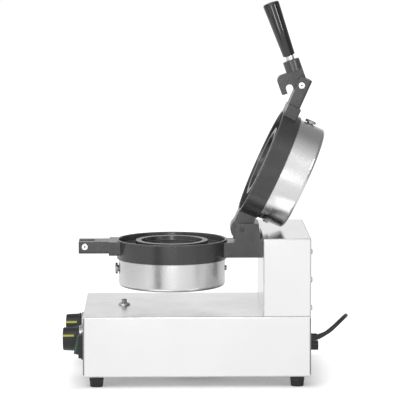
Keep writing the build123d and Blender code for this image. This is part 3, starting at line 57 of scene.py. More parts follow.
class Grain(Enum):
    """The way the brushing of a steel piece runs, as stretches of its pattern along X, Y and Z."""

    ALONG_X = (3.0, 900.0, 900.0)
    ALONG_Y = (900.0, 3.0, 900.0)
    UPRIGHT = (900.0, 900.0, 3.0)
    EVEN = (260.0, 260.0, 260.0)


class Body(Enum):
    """The bodies of the press that carry new pieces."""

    PRESS = "press"
    LATCH = "latch"
    THERMOSTAT = "thermostat_dial"
    TIMER = "timer_dial"


def linked(name: str, data: bpy.types.ID) -> bpy.types.Object:
    """Makes an object, links it to the scene and returns it."""
    thing = bpy.data.objects.new(name, data)
    bpy.context.scene.collection.objects.link(thing)
    return thing


def cleared(owner: Material | bpy.types.World) -> Tree:
    """Turns an owner's nodes on, empties them and returns their tree."""
    owner.use_nodes = True
    owner.node_tree.nodes.clear()
    return owner.node_tree


def new_group(name: str, inputs: dict[str, float], outputs: tuple[str, ...]) -> Tree:
    """Makes an empty shader node group with named number sockets.

    Args:
        name: The group's name.
        inputs: Number inputs and their usual values; a vector input named Place comes first.
        outputs: Names of the number outputs.

    Returns:
        The group, with its input and output nodes inside.
    """
    group = bpy.data.node_groups.new(name, "ShaderNodeTree")
    group.interface.new_socket("Place", in_out="INPUT", socket_type="NodeSocketVector")
    for label, value in inputs.items():
        socket = group.interface.new_socket(label, in_out="INPUT", socket_type="NodeSocketFloat")
        socket.default_value = value
    for label in outputs:
        group.interface.new_socket(label, in_out="OUTPUT", socket_type="NodeSocketFloat")
    group.nodes.new("NodeGroupInput").name = "ins"
    group.nodes.new("NodeGroupOutput").name = "outs"
    return group


def add_noise(tree: Tree, detail: float, roughness: float, scale: float = 1.0) -> bpy.types.Node:
    """Adds a 3-D noise.

    Args:
        tree: The node tree.
        detail: Its detail.
        roughness: How much its fine detail shows.
        scale: Its scale, where no socket sets it.

    Returns:
        The node.
    """
    noise = tree.nodes.new("ShaderNodeTexNoise")
    noise.inputs["Detail"].default_value = detail
    noise.inputs["Roughness"].default_value = roughness
    noise.inputs["Scale"].default_value = scale
    return noise


def fill(tree: Tree, socket: Socket, value: Socket | float | Point) -> None:
    """Links a socket to another one, or sets its plain value."""
    if isinstance(value, Socket):
        tree.links.new(value, socket)
    else:
        socket.default_value = value


def add_math(
    tree: Tree, operation: str, *values: Socket | float | Point, vector: bool = False
) -> Socket:
    """Adds a math node.

    Args:
        tree: The node tree.
        operation: What it does.
        *values: Its inputs in order, each a socket or a plain value.
        vector: Whether it works on vectors.

    Returns:
        The socket with its result.
    """
    node = tree.nodes.new("ShaderNodeVectorMath" if vector else "ShaderNodeMath")
    node.operation = operation
    for socket, value in zip(node.inputs, values):
        fill(tree, socket, value)
    number = not vector or operation in number_results
    return node.outputs["Value" if number else "Vector"]


def follow(tree: Tree, node: bpy.types.Node, value: Socket, levels: Span, span: Span) -> Socket:
    """Sets a Map Range node's levels and span, feeds it the value and returns its result."""
    node.inputs["From Min"].default_value, node.inputs["From Max"].default_value = span
    node.inputs["To Min"].default_value, node.inputs["To Max"].default_value = levels
    tree.links.new(value, node.inputs["Value"])
    return node.outputs["Result"]


def brushed_group() -> Tree:
    """The brushing of rolled steel: long fine lines, with broad soft bands across them.

    Returns:
        A group whose Lines and Bands run from 0 to 1.
    """
    group = new_group("brushed_lines", {"Band Scale": 14.0}, ("Lines", "Bands"))
    nodes, links = group.nodes, group.links
    lines = add_noise(group, 3.0, 0.65)
    bands = add_noise(group, 2.0, 0.5)
    coords = nodes.new("ShaderNodeTexCoord")
    links.new(nodes["ins"].outputs["Place"], lines.inputs["Vector"])
    links.new(nodes["ins"].outputs["Band Scale"], bands.inputs["Scale"])
    links.new(coords.outputs["Object"], bands.inputs["Vector"])
    links.new(lines.outputs["Fac"], nodes["outs"].inputs["Lines"])
    links.new(bands.outputs["Fac"], nodes["outs"].inputs["Bands"])
    return group


def cast_group() -> Tree:
    """The skin of a coated casting: a fine orange peel with a few shallow pits.

    Returns:
        A group with the skin's Height and a slow change of Tone.
    """
    group = new_group("cast_skin", {"Peel Scale": 900.0, "Tone Scale": 22.0}, ("Height", "Tone"))
    nodes, links = group.nodes, group.links
    ins, outs = nodes["ins"].outputs, nodes["outs"].inputs
    peel = add_noise(group, 4.0, 0.6)
    tone = add_noise(group, 5.0, 0.62)
    pits = nodes.new("ShaderNodeTexVoronoi")
    pits.inputs["Scale"].default_value = 420.0
    dent = nodes.new("ShaderNodeMapRange")
    dent.inputs["From Max"].default_value = 0.22
    for texture in (peel, tone, pits):
        links.new(ins["Place"], texture.inputs["Vector"])
    links.new(ins["Peel Scale"], peel.inputs["Scale"])
    links.new(ins["Tone Scale"], tone.inputs["Scale"])
    links.new(pits.outputs["Distance"], dent.inputs["Value"])
    links.new(add_math(group, "MULTIPLY", dent.outputs["Result"], peel.outputs["Fac"]), outs["Height"])
    links.new(tone.outputs["Fac"], outs["Tone"])
    return group


def edge_wear_and_reflection_group() -> Tree:
    """A mask along edges, for worn edges and for painted dark reflections on rounded steel edges: 1 where
    the rounded normal of a near edge leaves the face's own, broken up by noise.

    Returns:
        A group whose Edge runs from 0 on flats to 1 on edges.
    """
    group = new_group("edge_wear_and_reflection", {"Reach": 0.0007, "Gain": 4.0}, ("Edge",))
    nodes, links = group.nodes, group.links
    ins = nodes["ins"].outputs
    rounded = nodes.new("ShaderNodeBevel")
    rounded.samples = bevel_samples
    surface = nodes.new("ShaderNodeNewGeometry")
    patches = add_noise(group, 4.0, 0.7, scale=160.0)
    links.new(ins["Reach"], rounded.inputs["Radius"])
    links.new(ins["Place"], patches.inputs["Vector"])
    match = add_math(group, "DOT_PRODUCT", rounded.outputs["Normal"], surface.outputs["Normal"], vector=True)
    gained = add_math(group, "MULTIPLY", add_math(group, "SUBTRACT", 1.0, match), ins["Gain"])
    broken = add_math(group, "MULTIPLY", gained, patches.outputs["Fac"])
    broken.node.use_clamp = True
    links.new(broken, nodes["outs"].inputs["Edge"])
    return group


def marks_group() -> Tree:
    """Handling marks: faint smears and dust that change how a surface shines.

    Returns:
        A group whose Marks runs from 0 to 1.
    """
    group = new_group("handling_marks", {"Scale": 30.0}, ("Marks",))
    nodes, links = group.nodes, group.links
    smear = add_noise(group, 6.0, 0.7)
    smear.inputs["Distortion"].default_value = 0.6
    spread = nodes.new("ShaderNodeMapRange")
    spread.inputs["From Min"].default_value = 0.35
    spread.inputs["From Max"].default_value = 0.75
    links.new(nodes["ins"].outputs["Place"], smear.inputs["Vector"])
    links.new(nodes["ins"].outputs["Scale"], smear.inputs["Scale"])
    links.new(smear.outputs["Fac"], spread.inputs["Value"])
    links.new(spread.outputs["Result"], nodes["outs"].inputs["Marks"])
    return group


@dataclass
class Effects:
    """The shader groups that the finishes share."""

    brushed: Tree = field(default_factory=brushed_group)
    cast: Tree = field(default_factory=cast_group)
    wear: Tree = field(default_factory=edge_wear_and_reflection_group)
    marks: Tree = field(default_factory=marks_group)


effects = Effects()


class Bench:
    """A material under construction, with short calls for the nodes that the finishes use."""

    edge_radius = 0.0005

    def __init__(self, name: str) -> None:
        """Starts an empty material with a Principled BSDF on its output."""
        self.material = bpy.data.materials.new(name)
        self.tree = cleared(self.material)
        self.shader = self.tree.nodes.new("ShaderNodeBsdfPrincipled")
        out = self.tree.nodes.new("ShaderNodeOutputMaterial")
        self.tree.links.new(self.shader.outputs["BSDF"], out.inputs["Surface"])
        self.coords = self.tree.nodes.new("ShaderNodeTexCoord").outputs["Object"]

    def set(self, **values: float) -> None:
        """Sets plain numbers on the shader's sockets; an underscore in a name stands for a space."""
        for label, value in values.items():
            self.shader.inputs[label.replace("_", " ")].default_value = value

    def group(self, tree: Tree, place: Socket | None = None, **values: float) -> bpy.types.Node:
        """Places a shared group.

        Args:
            tree: The group.
            place: The coordinates that it reads; the object's own where left out.
            **values: Its number inputs; an underscore in a name stands for a space.

        Returns:
            The group's node.
        """
        node = self.tree.nodes.new("ShaderNodeGroup")
        node.node_tree = tree
        self.tree.links.new(place or self.coords, node.inputs["Place"])
        for label, value in values.items():
            node.inputs[label.replace("_", " ")].default_value = value
        return node

    def stretched(self, scale: Point) -> Socket:
        """The object's coordinates stretched along its axes."""
        mapping = self.tree.nodes.new("ShaderNodeMapping")
        mapping.inputs["Scale"].default_value = scale
        self.tree.links.new(self.coords, mapping.inputs["Vector"])
        return mapping.outputs["Vector"]

    def blend(
        self,
        share: Socket,
        under: Socket | Point,
        top: Socket | Point,
    ) -> Socket:
        """Mixes two colours.

        Args:
            share: Where it is 0 the lower colour shows, and where it is 1 the upper one.
            under: The lower colour, as a socket or red, green and blue.
            top: The upper colour, likewise.

        Returns:
            The mixed colour.
        """
        mix = self.tree.nodes.new("ShaderNodeMix")
        mix.data_type = "RGBA"
        self.tree.links.new(share, mix.inputs["Factor"])
        for label, colour in (("A", under), ("B", top)):
            fill(self.tree, mix.inputs[label], colour if isinstance(colour, Socket) else (*colour, 1.0))
        return mix.outputs["Result"]

    def ranged(self, value: Socket, levels: Span, span: Span = (0.0, 1.0)) -> Socket:
        """Adds a number that goes straight from one level to the other.

        Args:
            value: The value that it follows.
            levels: The levels before and after the span.
            span: Where the change starts and ends.

        Returns:
            The number.
        """
        node = self.tree.nodes.new("ShaderNodeMapRange")
        return follow(self.tree, node, value, levels, span)

    def smear(self, scale: float, low: float, high: float) -> None:
        """Feeds a roughness that goes from low to high with the handling marks."""
        marks = self.group(effects.marks, Scale=scale)
        self.feed(self.ranged(marks.outputs["Marks"], (low, high)), "Roughness")

    def feed(self, socket: Socket, label: str) -> None:
        """Links a socket to the shader."""
        self.tree.links.new(socket, self.shader.inputs[label])

    def bump(self, height: Socket, strength: float, depth: float) -> None:
        """Feeds a height to the shader's normal, with edges rounded by a fraction of a millimetre.

        Args:
            height: The height.
            strength: How much of it shows.
            depth: How deep it goes, in metres.
        """
        edge = self.tree.nodes.new("ShaderNodeBevel")
        edge.samples = bevel_samples
        edge.inputs["Radius"].default_value = self.edge_radius
        node = self.tree.nodes.new("ShaderNodeBump")
        node.inputs["Strength"].default_value = strength
        node.inputs["Distance"].default_value = depth
        self.tree.links.new(height, node.inputs["Height"])
        self.tree.links.new(edge.outputs["Normal"], node.inputs["Normal"])
        self.feed(node.outputs["Normal"], "Normal")


@dataclass(frozen=True)
class Finish:
    """A named finish, whose dress method adds its own nodes."""

    name: str

    def dress(self, bench: Bench) -> None:
        """Adds the finish's own nodes; each kind of finish has its own way."""
        raise NotImplementedError

    def make(self) -> Material:
        """Builds the material and returns it."""
        bench = Bench(self.name)
        self.dress(bench)
        return bench.material


@dataclass(frozen=True)
class BrushedSteel(Finish):
    """Rolled or spun stainless steel with its brushing, faint handling marks and a painted dark reflection
    along its rounded edges.
    """

    tone: float
    grain: Grain
    rough: float = 0.3
    variation: float = 0.06
    brightest: float = 0.97
    tint: float = 0.005
    relief: float = 0.12
    line_depth: float = 0.00004
    # grey of the painted dark reflection along rounded edges
    edge: float = 0.35
    edge_reach: float = 0.0026
    edge_gain: float = 9.0
    drawn: float = 0.35
    band_scale: float = 14.0
    marks_scale: float = 24.0

    def dress(self, bench: Bench) -> None:
        """Adds slow bands of tone under the brushing, greyer along its edges as a painted dark reflection.

        Args:
            bench: The material's bench.
        """
        bench.set(Metallic=1.0, Anisotropic=self.drawn)
        brushed = bench.group(effects.brushed, bench.stretched(self.grain.value), Band_Scale=self.band_scale)
        wear = bench.group(effects.wear, Reach=self.edge_reach, Gain=self.edge_gain)
        low = grey(self.tone - self.variation, cool=1 + self.tint)
        high = grey(min(self.tone + self.variation, self.brightest), cool=1 - self.tint)
        bands = bench.blend(brushed.outputs["Bands"], low, high)
        # painted reflection: the rounded edges are blended to a dark grey
        bench.feed(bench.blend(wear.outputs["Edge"], bands, grey(self.edge)), "Base Color")
        bench.smear(self.marks_scale, self.rough * 0.85, self.rough * 1.25)
        bench.bump(brushed.outputs["Lines"], self.relief, self.line_depth)


@dataclass(frozen=True)
class CoatedCasting(Finish):
    """Cast metal under a dark non-stick coat, worn bright along its edges."""

    dark: Point
    light: Point
    worn: Point
    rough: float
    shine: float = 0.65
    relief: float = 0.35
    skin_depth: float = 0.00012
    edge_reach: float = 0.0007
    edge_gain: float = 9.0
    marks_scale: float = 38.0

    def dress(self, bench: Bench) -> None:
        """Adds a slow change of tone on the coat's skin, and its worn edges.

        Args:
            bench: The material's bench.
        """
        bench.set(Specular_IOR_Level=self.shine)
        skin = bench.group(effects.cast)
        wear = bench.group(effects.wear, Reach=self.edge_reach, Gain=self.edge_gain)
        coat = bench.blend(skin.outputs["Tone"], self.dark, self.light)
        bench.feed(bench.blend(wear.outputs["Edge"], coat, self.worn), "Base Color")
        bench.smear(self.marks_scale, self.rough * 0.85, self.rough * 1.3)
        bench.bump(skin.outputs["Height"], self.relief, self.skin_depth)


@dataclass(frozen=True)
class Moulded(Finish):
    """Moulded plastic, phenolic or rubber, with a fine skin and a slow change of tone."""

    dark: Point
    light: Point
    rough: float
    relief: float = 0.1
    skin_depth: float = 0.0001
    peel_scale: float = 1400.0
    tone_scale: float = 30.0
    marks_scale: float = 60.0
    coat: float = 0.0
    coat_rough: float = 0.08

    def dress(self, bench: Bench) -> None:
        """Adds a slow change of tone, a fine skin and the marks of hands.

        Args:
            bench: The material's bench.
        """
        bench.set(Coat_Weight=self.coat, Coat_Roughness=self.coat_rough)
        skin = bench.group(effects.cast, Peel_Scale=self.peel_scale, Tone_Scale=self.tone_scale)
        bench.feed(bench.blend(skin.outputs["Tone"], self.dark, self.light), "Base Color")
        bench.smear(self.marks_scale, self.rough * 0.8, self.rough * 1.35)
        bench.bump(skin.outputs["Height"], self.relief, self.skin_depth)


@dataclass(frozen=True)
class PlatedMetal(Finish):
    """Turned or plated metal of screws, pins and washers, with fine turning lines."""

    dark: Point
    light: Point
    rough: float = 0.25
    relief: float = 0.1
    line_depth: float = 0.00003
    edge_reach: float = 0.0003
    edge_gain: float = 3.0
    band_scale: float = 120.0
    marks_scale: float = 90.0

    def dress(self, bench: Bench) -> None:
        """Adds turning lines over a slow change of tone, lighter along its edges.

        Args:
            bench: The material's bench.
        """
        bench.set(Metallic=1.0)
        brushed = bench.group(effects.brushed, bench.stretched(Grain.EVEN.value), Band_Scale=self.band_scale)
        wear = bench.group(effects.wear, Reach=self.edge_reach, Gain=self.edge_gain)
        tone = bench.blend(brushed.outputs["Bands"], self.dark, self.light)
        bench.feed(bench.blend(wear.outputs["Edge"], tone, self.light), "Base Color")
        bench.smear(self.marks_scale, self.rough * 0.8, self.rough * 1.4)
        bench.bump(brushed.outputs["Lines"], self.relief, self.line_depth)


@dataclass(frozen=True)
class CentredPin(Finish):
    """A bright turned pin head with a grey centre mark round its axis, which runs along X."""

    centre: Point
    mark_radius: float = 0.0013
    blur: float = 0.15
    mark: float = 0.16
    dark: float = 0.82
    light: float = 0.95
    rough: Span = (0.3, 0.45)
    relief: float = 0.08
    line_depth: float = 0.00003
    band_scale: float = 120.0
    marks_scale: float = 90.0

    def dress(self, bench: Bench) -> None:
        """Adds the nodes: the mark covers the points nearer to the axis than its radius.

        Args:
            bench: The material's bench.
        """
        bench.set(Metallic=1.0)
        tree = bench.tree
        place = add_math(tree, "SUBTRACT", bench.coords, self.centre, vector=True)
        squashed = add_math(tree, "MULTIPLY", place, (0.0, 1.0, 1.0), vector=True)
        distance = add_math(tree, "LENGTH", squashed, vector=True)
        span = (self.mark_radius * (1 + self.blur), self.mark_radius * (1 - self.blur))
        mark = bench.ranged(distance, (0.0, 1.0), span)
        brushed = bench.group(effects.brushed, bench.stretched(Grain.EVEN.value), Band_Scale=self.band_scale)
        tone = bench.blend(brushed.outputs["Bands"], grey(self.dark), grey(self.light))
        bench.feed(bench.blend(mark, tone, grey(self.mark)), "Base Color")
        bench.smear(self.marks_scale, *self.rough)
        bench.bump(brushed.outputs["Lines"], self.relief, self.line_depth)


@dataclass(frozen=True)
class TwoToneRocker(Finish):
    """A clear green cap on a black rocker body, split by the depth under the rocker's face."""

    dark: Point
    light: Point
    body: float = 0.012
    facing: Point = (0.0, -0.978148, 0.207912)
    cap_from: float = 0.184669
    blur: float = 0.0002
    coat: float = 0.3
    coat_rough: float = 0.1
    rough: Span = (0.16, 0.3)
    relief: float = 0.05
    skin_depth: float = 0.0001
    peel_scale: float = 1400.0
    tone_scale: float = 40.0
    marks_scale: float = 60.0

    def dress(self, bench: Bench) -> None:
        """Adds the nodes: a point whose place along the face's normal is past cap_from is on the cap.

        Args:
            bench: The material's bench.
        """
        bench.set(Coat_Weight=self.coat, Coat_Roughness=self.coat_rough)
        along = add_math(bench.tree, "DOT_PRODUCT", bench.coords, self.facing, vector=True)
        cap = bench.ranged(along, (0.0, 1.0), (self.cap_from - self.blur, self.cap_from + self.blur))
        skin = bench.group(effects.cast, Peel_Scale=self.peel_scale, Tone_Scale=self.tone_scale)
        green = bench.blend(skin.outputs["Tone"], self.dark, self.light)
        bench.feed(bench.blend(cap, grey(self.body), green), "Base Color")
        bench.smear(self.marks_scale, *self.rough)
        bench.bump(skin.outputs["Height"], self.relief, self.skin_depth)


def grey(value: float, cool: float = 1.0) -> Point:
    """A linear grey, with more or less blue in it."""
    return (value, value, value * cool)


FINISHES = (
    BrushedSteel("base_steel", 0.87, Grain.ALONG_Y, rough=0.22, variation=0.03),
    BrushedSteel("bottom_steel", 0.7, Grain.ALONG_Y, rough=0.4),
    BrushedSteel("tower_steel", 0.88, Grain.ALONG_X, rough=0.14, relief=0.05, variation=0.03),
    BrushedSteel("housing_steel", 0.7, Grain.UPRIGHT, rough=0.26, variation=0.04, relief=0.2),
    BrushedSteel("plain_steel", 0.5, Grain.ALONG_X, rough=0.4),
    CoatedCasting("coated_casting", grey(0.034), grey(0.062), grey(0.42), rough=0.24),
    CoatedCasting("dark_casting", grey(0.05), grey(0.09), grey(0.36), rough=0.28),
    CoatedCasting("pin_black", grey(0.02), grey(0.04), grey(0.1), rough=0.4),
    PlatedMetal("zinc_screw", grey(0.42, 1.03), grey(0.6, 1.02), rough=0.4),
    PlatedMetal("bright_steel", grey(0.62), grey(0.8), rough=0.36),
    PlatedMetal("dull_steel", grey(0.3), grey(0.45), rough=0.45),
    PlatedMetal("washer_steel", grey(0.45), grey(0.65), rough=0.38),
    PlatedMetal("bronze", (0.38, 0.22, 0.1), (0.52, 0.33, 0.16), rough=0.35),
    PlatedMetal("element_sheath", (0.2, 0.17, 0.14), (0.34, 0.3, 0.26), rough=0.5),
    PlatedMetal("plug_brass", (0.62, 0.45, 0.17), (0.8, 0.62, 0.3), rough=0.25),
    PlatedMetal("dial_silver", grey(0.62), grey(0.78), rough=0.34),
    Moulded("foot_rubber", grey(0.012), grey(0.022), 0.7, relief=0.25),
    Moulded("mineral_wool", (0.42, 0.36, 0.26), (0.6, 0.55, 0.42), 0.95, relief=1.0, peel_scale=500.0),
    Moulded("grip_black", grey(0.008), grey(0.016), 0.12, relief=0.02, coat=0.6),
    Moulded("knob_black", grey(0.014), grey(0.028), 0.42, relief=0.12),
    Moulded("line_yellow", (0.52, 0.5, 0.06), (0.62, 0.6, 0.1), 0.4),
    Moulded("control_black", grey(0.02), grey(0.03), 0.5),
    Moulded("switch_black", grey(0.01), grey(0.02), 0.35),
    Moulded("cord_rubber", grey(0.02), grey(0.034), 0.5, relief=0.2, peel_scale=1800.0),
    Moulded("plug_black", grey(0.02), grey(0.032), 0.45),
    Moulded("scale_ink", grey(0.01), grey(0.02), 0.5),
    # painted dark reflection on the base's folded corners
    BrushedSteel("fold_reflection_steel", 0.34, Grain.UPRIGHT, rough=0.4, variation=0.05, edge=0.2),
    CentredPin("pivot_head", (0.0, 0.1631965, 0.443239)),
    CentredPin("catch_head", (0.0, -0.1664, 0.1982)),
    TwoToneRocker("rocker_green", (0.01, 0.09, 0.05), (0.02, 0.14, 0.08)),
)


class Shop:
    """Makes meshes and hangs finished pieces on the press."""

    merge_distance = 1e-6

    own_finish = {
        "hinge_pin": "pin_black",
        "latch_pivot_pin": "pivot_head",
        "lower_latch_pin": "catch_head",
        "deck_screw": "dull_steel",
        "lower_housing_bolt": "dull_steel",
        "upper_housing_bolt": "dull_steel",
        "lower_housing_screw": "dull_steel",
        "upper_housing_screw": "dull_steel",
    }

    def __init__(self) -> None:
        """Builds every finish once."""
        self.finish: dict[str, Material] = {f.name: f.make() for f in FINISHES}

    def dress_nodes(self) -> None:
        """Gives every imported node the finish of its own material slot."""
        for name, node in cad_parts.items():
            for slot in node.material_slots:
                finish = self.own_finish.get(name, slot.material.name.split(".")[0])
                slot.material = self.finish[finish]
            log.info("dressed %s", name)

    def hang(self, piece: bpy.types.Object, body: Body, finish: str, *nodes: str) -> None:
        """Finishes a piece and hangs it on a body.

        Args:
            piece: The new object.
            body: The body that carries it.
            finish: Its finish.
            *nodes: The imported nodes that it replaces.
        """
        piece.data.materials.clear()
        piece.data.materials.append(self.finish[finish])
        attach(piece, body.value)
        if nodes:
            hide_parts(*nodes)
        log.info("made %s on %s", piece.name, body.value)

    def from_grid(self, name: str, points: np.ndarray, wrap: bool, smooth: float = 32.0) -> bpy.types.Object:
        """Makes a mesh from a grid of points.

        Args:
            name: The piece's name.
            points: An array of rows, columns and 3 coordinates.
            wrap: Whether the columns close on themselves.
            smooth: Edges sharper than this angle, in degrees, stay crisp.

        Returns:
            The object, with doubled points merged and its faces turned outwards.
        """
        rows, columns = points.shape[:2]
        spans = columns if wrap else columns - 1
        row, column = np.meshgrid(np.arange(rows - 1), np.arange(spans), indexing="ij")
        after = (column + 1) % columns
        here = row * columns
        above = here + columns
        corners = (here + column, here + after, above + after, above + column)
        faces = np.stack(corners, axis=-1).reshape(-1, 4)
        mesh = bpy.data.meshes.new(name)
        mesh.from_pydata(points.reshape(-1, 3).tolist(), [], faces.tolist())
        return self.finished(name, mesh, smooth)

    def finished(self, name: str, mesh: bpy.types.Mesh, smooth: float) -> bpy.types.Object:
        """Merges doubled points, turns faces outwards, smooths the shading and links the object.

        Args:
            name: The piece's name.
            mesh: Its mesh.
            smooth: Edges sharper than this angle, in degrees, stay crisp.

        Returns:
            The object.
        """
        work = bmesh.new()
        work.from_mesh(mesh)
        bmesh.ops.remove_doubles(work, verts=work.verts, dist=self.merge_distance)
        bmesh.ops.recalc_face_normals(work, faces=work.faces)
        work.to_mesh(mesh)
        work.free()
        mesh.shade_smooth()
        mesh.set_sharp_from_angle(angle=radians(smooth))
        return linked(name, mesh)

    def turned(
        self, name: str, outline: list[Span], centre: Point, axis: Point, count: int = 96
    ) -> bpy.types.Object:
        """Makes a turned piece.

        Each point of the outline (radius, height) goes round the axis: centre + axis*height
        + radius*(across*cos(angle) + beside*sin(angle)).

        Args:
            name: The piece's name.
            outline: Its radii and heights in metres, from one pole or edge to the other.
            centre: The point where the height is 0.
            axis: The direction of the height.
            count: Points round the turn.

        Returns:
            The object.
        """
        pole = np.array(axis, float) / np.linalg.norm(axis)
        helper = np.array((1.0, 0.0, 0.0)) if abs(pole[0]) < 0.9 else np.array((0.0, 1.0, 0.0))
        across = np.cross(pole, helper)
        across /= np.linalg.norm(across)
        beside = np.cross(pole, across)
        angle = np.linspace(0, 2 * np.pi, count, endpoint=False)
        ring = np.outer(np.cos(angle), across) + np.outer(np.sin(angle), beside)
        profile = np.array(outline, float)
        points = np.array(centre) + profile[:, 1, None, None] * pole + profile[:, 0, None, None] * ring[None]
        return self.from_grid(name, points, wrap=True)


@dataclass(frozen=True)
class Card:
    """A standing card beside the press that only shiny surfaces see.

    Its foot is the middle of its lower edge, its heading the way that its width runs, in degrees
    from X, and its level its grey.
    """

    name: str
    foot: Point
    width: float
    height: float
    heading: float
    level: float

    def build(self) -> None:
        """Stands the card up and hides it from the eye, from matt surfaces and from shadows."""
        run = Vector((np.cos(radians(self.heading)), np.sin(radians(self.heading)), 0.0)) * self.width / 2
        low = Vector(self.foot)
        high = low + Vector((0.0, 0.0, self.height))
        mesh = bpy.data.meshes.new(self.name)
        mesh.from_pydata([low - run, low + run, high + run, high - run], [], [(0, 1, 2, 3)])
        card = linked(self.name, mesh)
        material = bpy.data.materials.new(self.name)
        tree = cleared(material)
        glow = tree.nodes.new("ShaderNodeEmission")
        glow.inputs["Strength"].default_value = self.level
        out = tree.nodes.new("ShaderNodeOutputMaterial")
        tree.links.new(glow.outputs["Emission"], out.inputs["Surface"])
        mesh.materials.append(material)
        card.visible_camera = False
        card.visible_diffuse = False
        card.visible_shadow = False


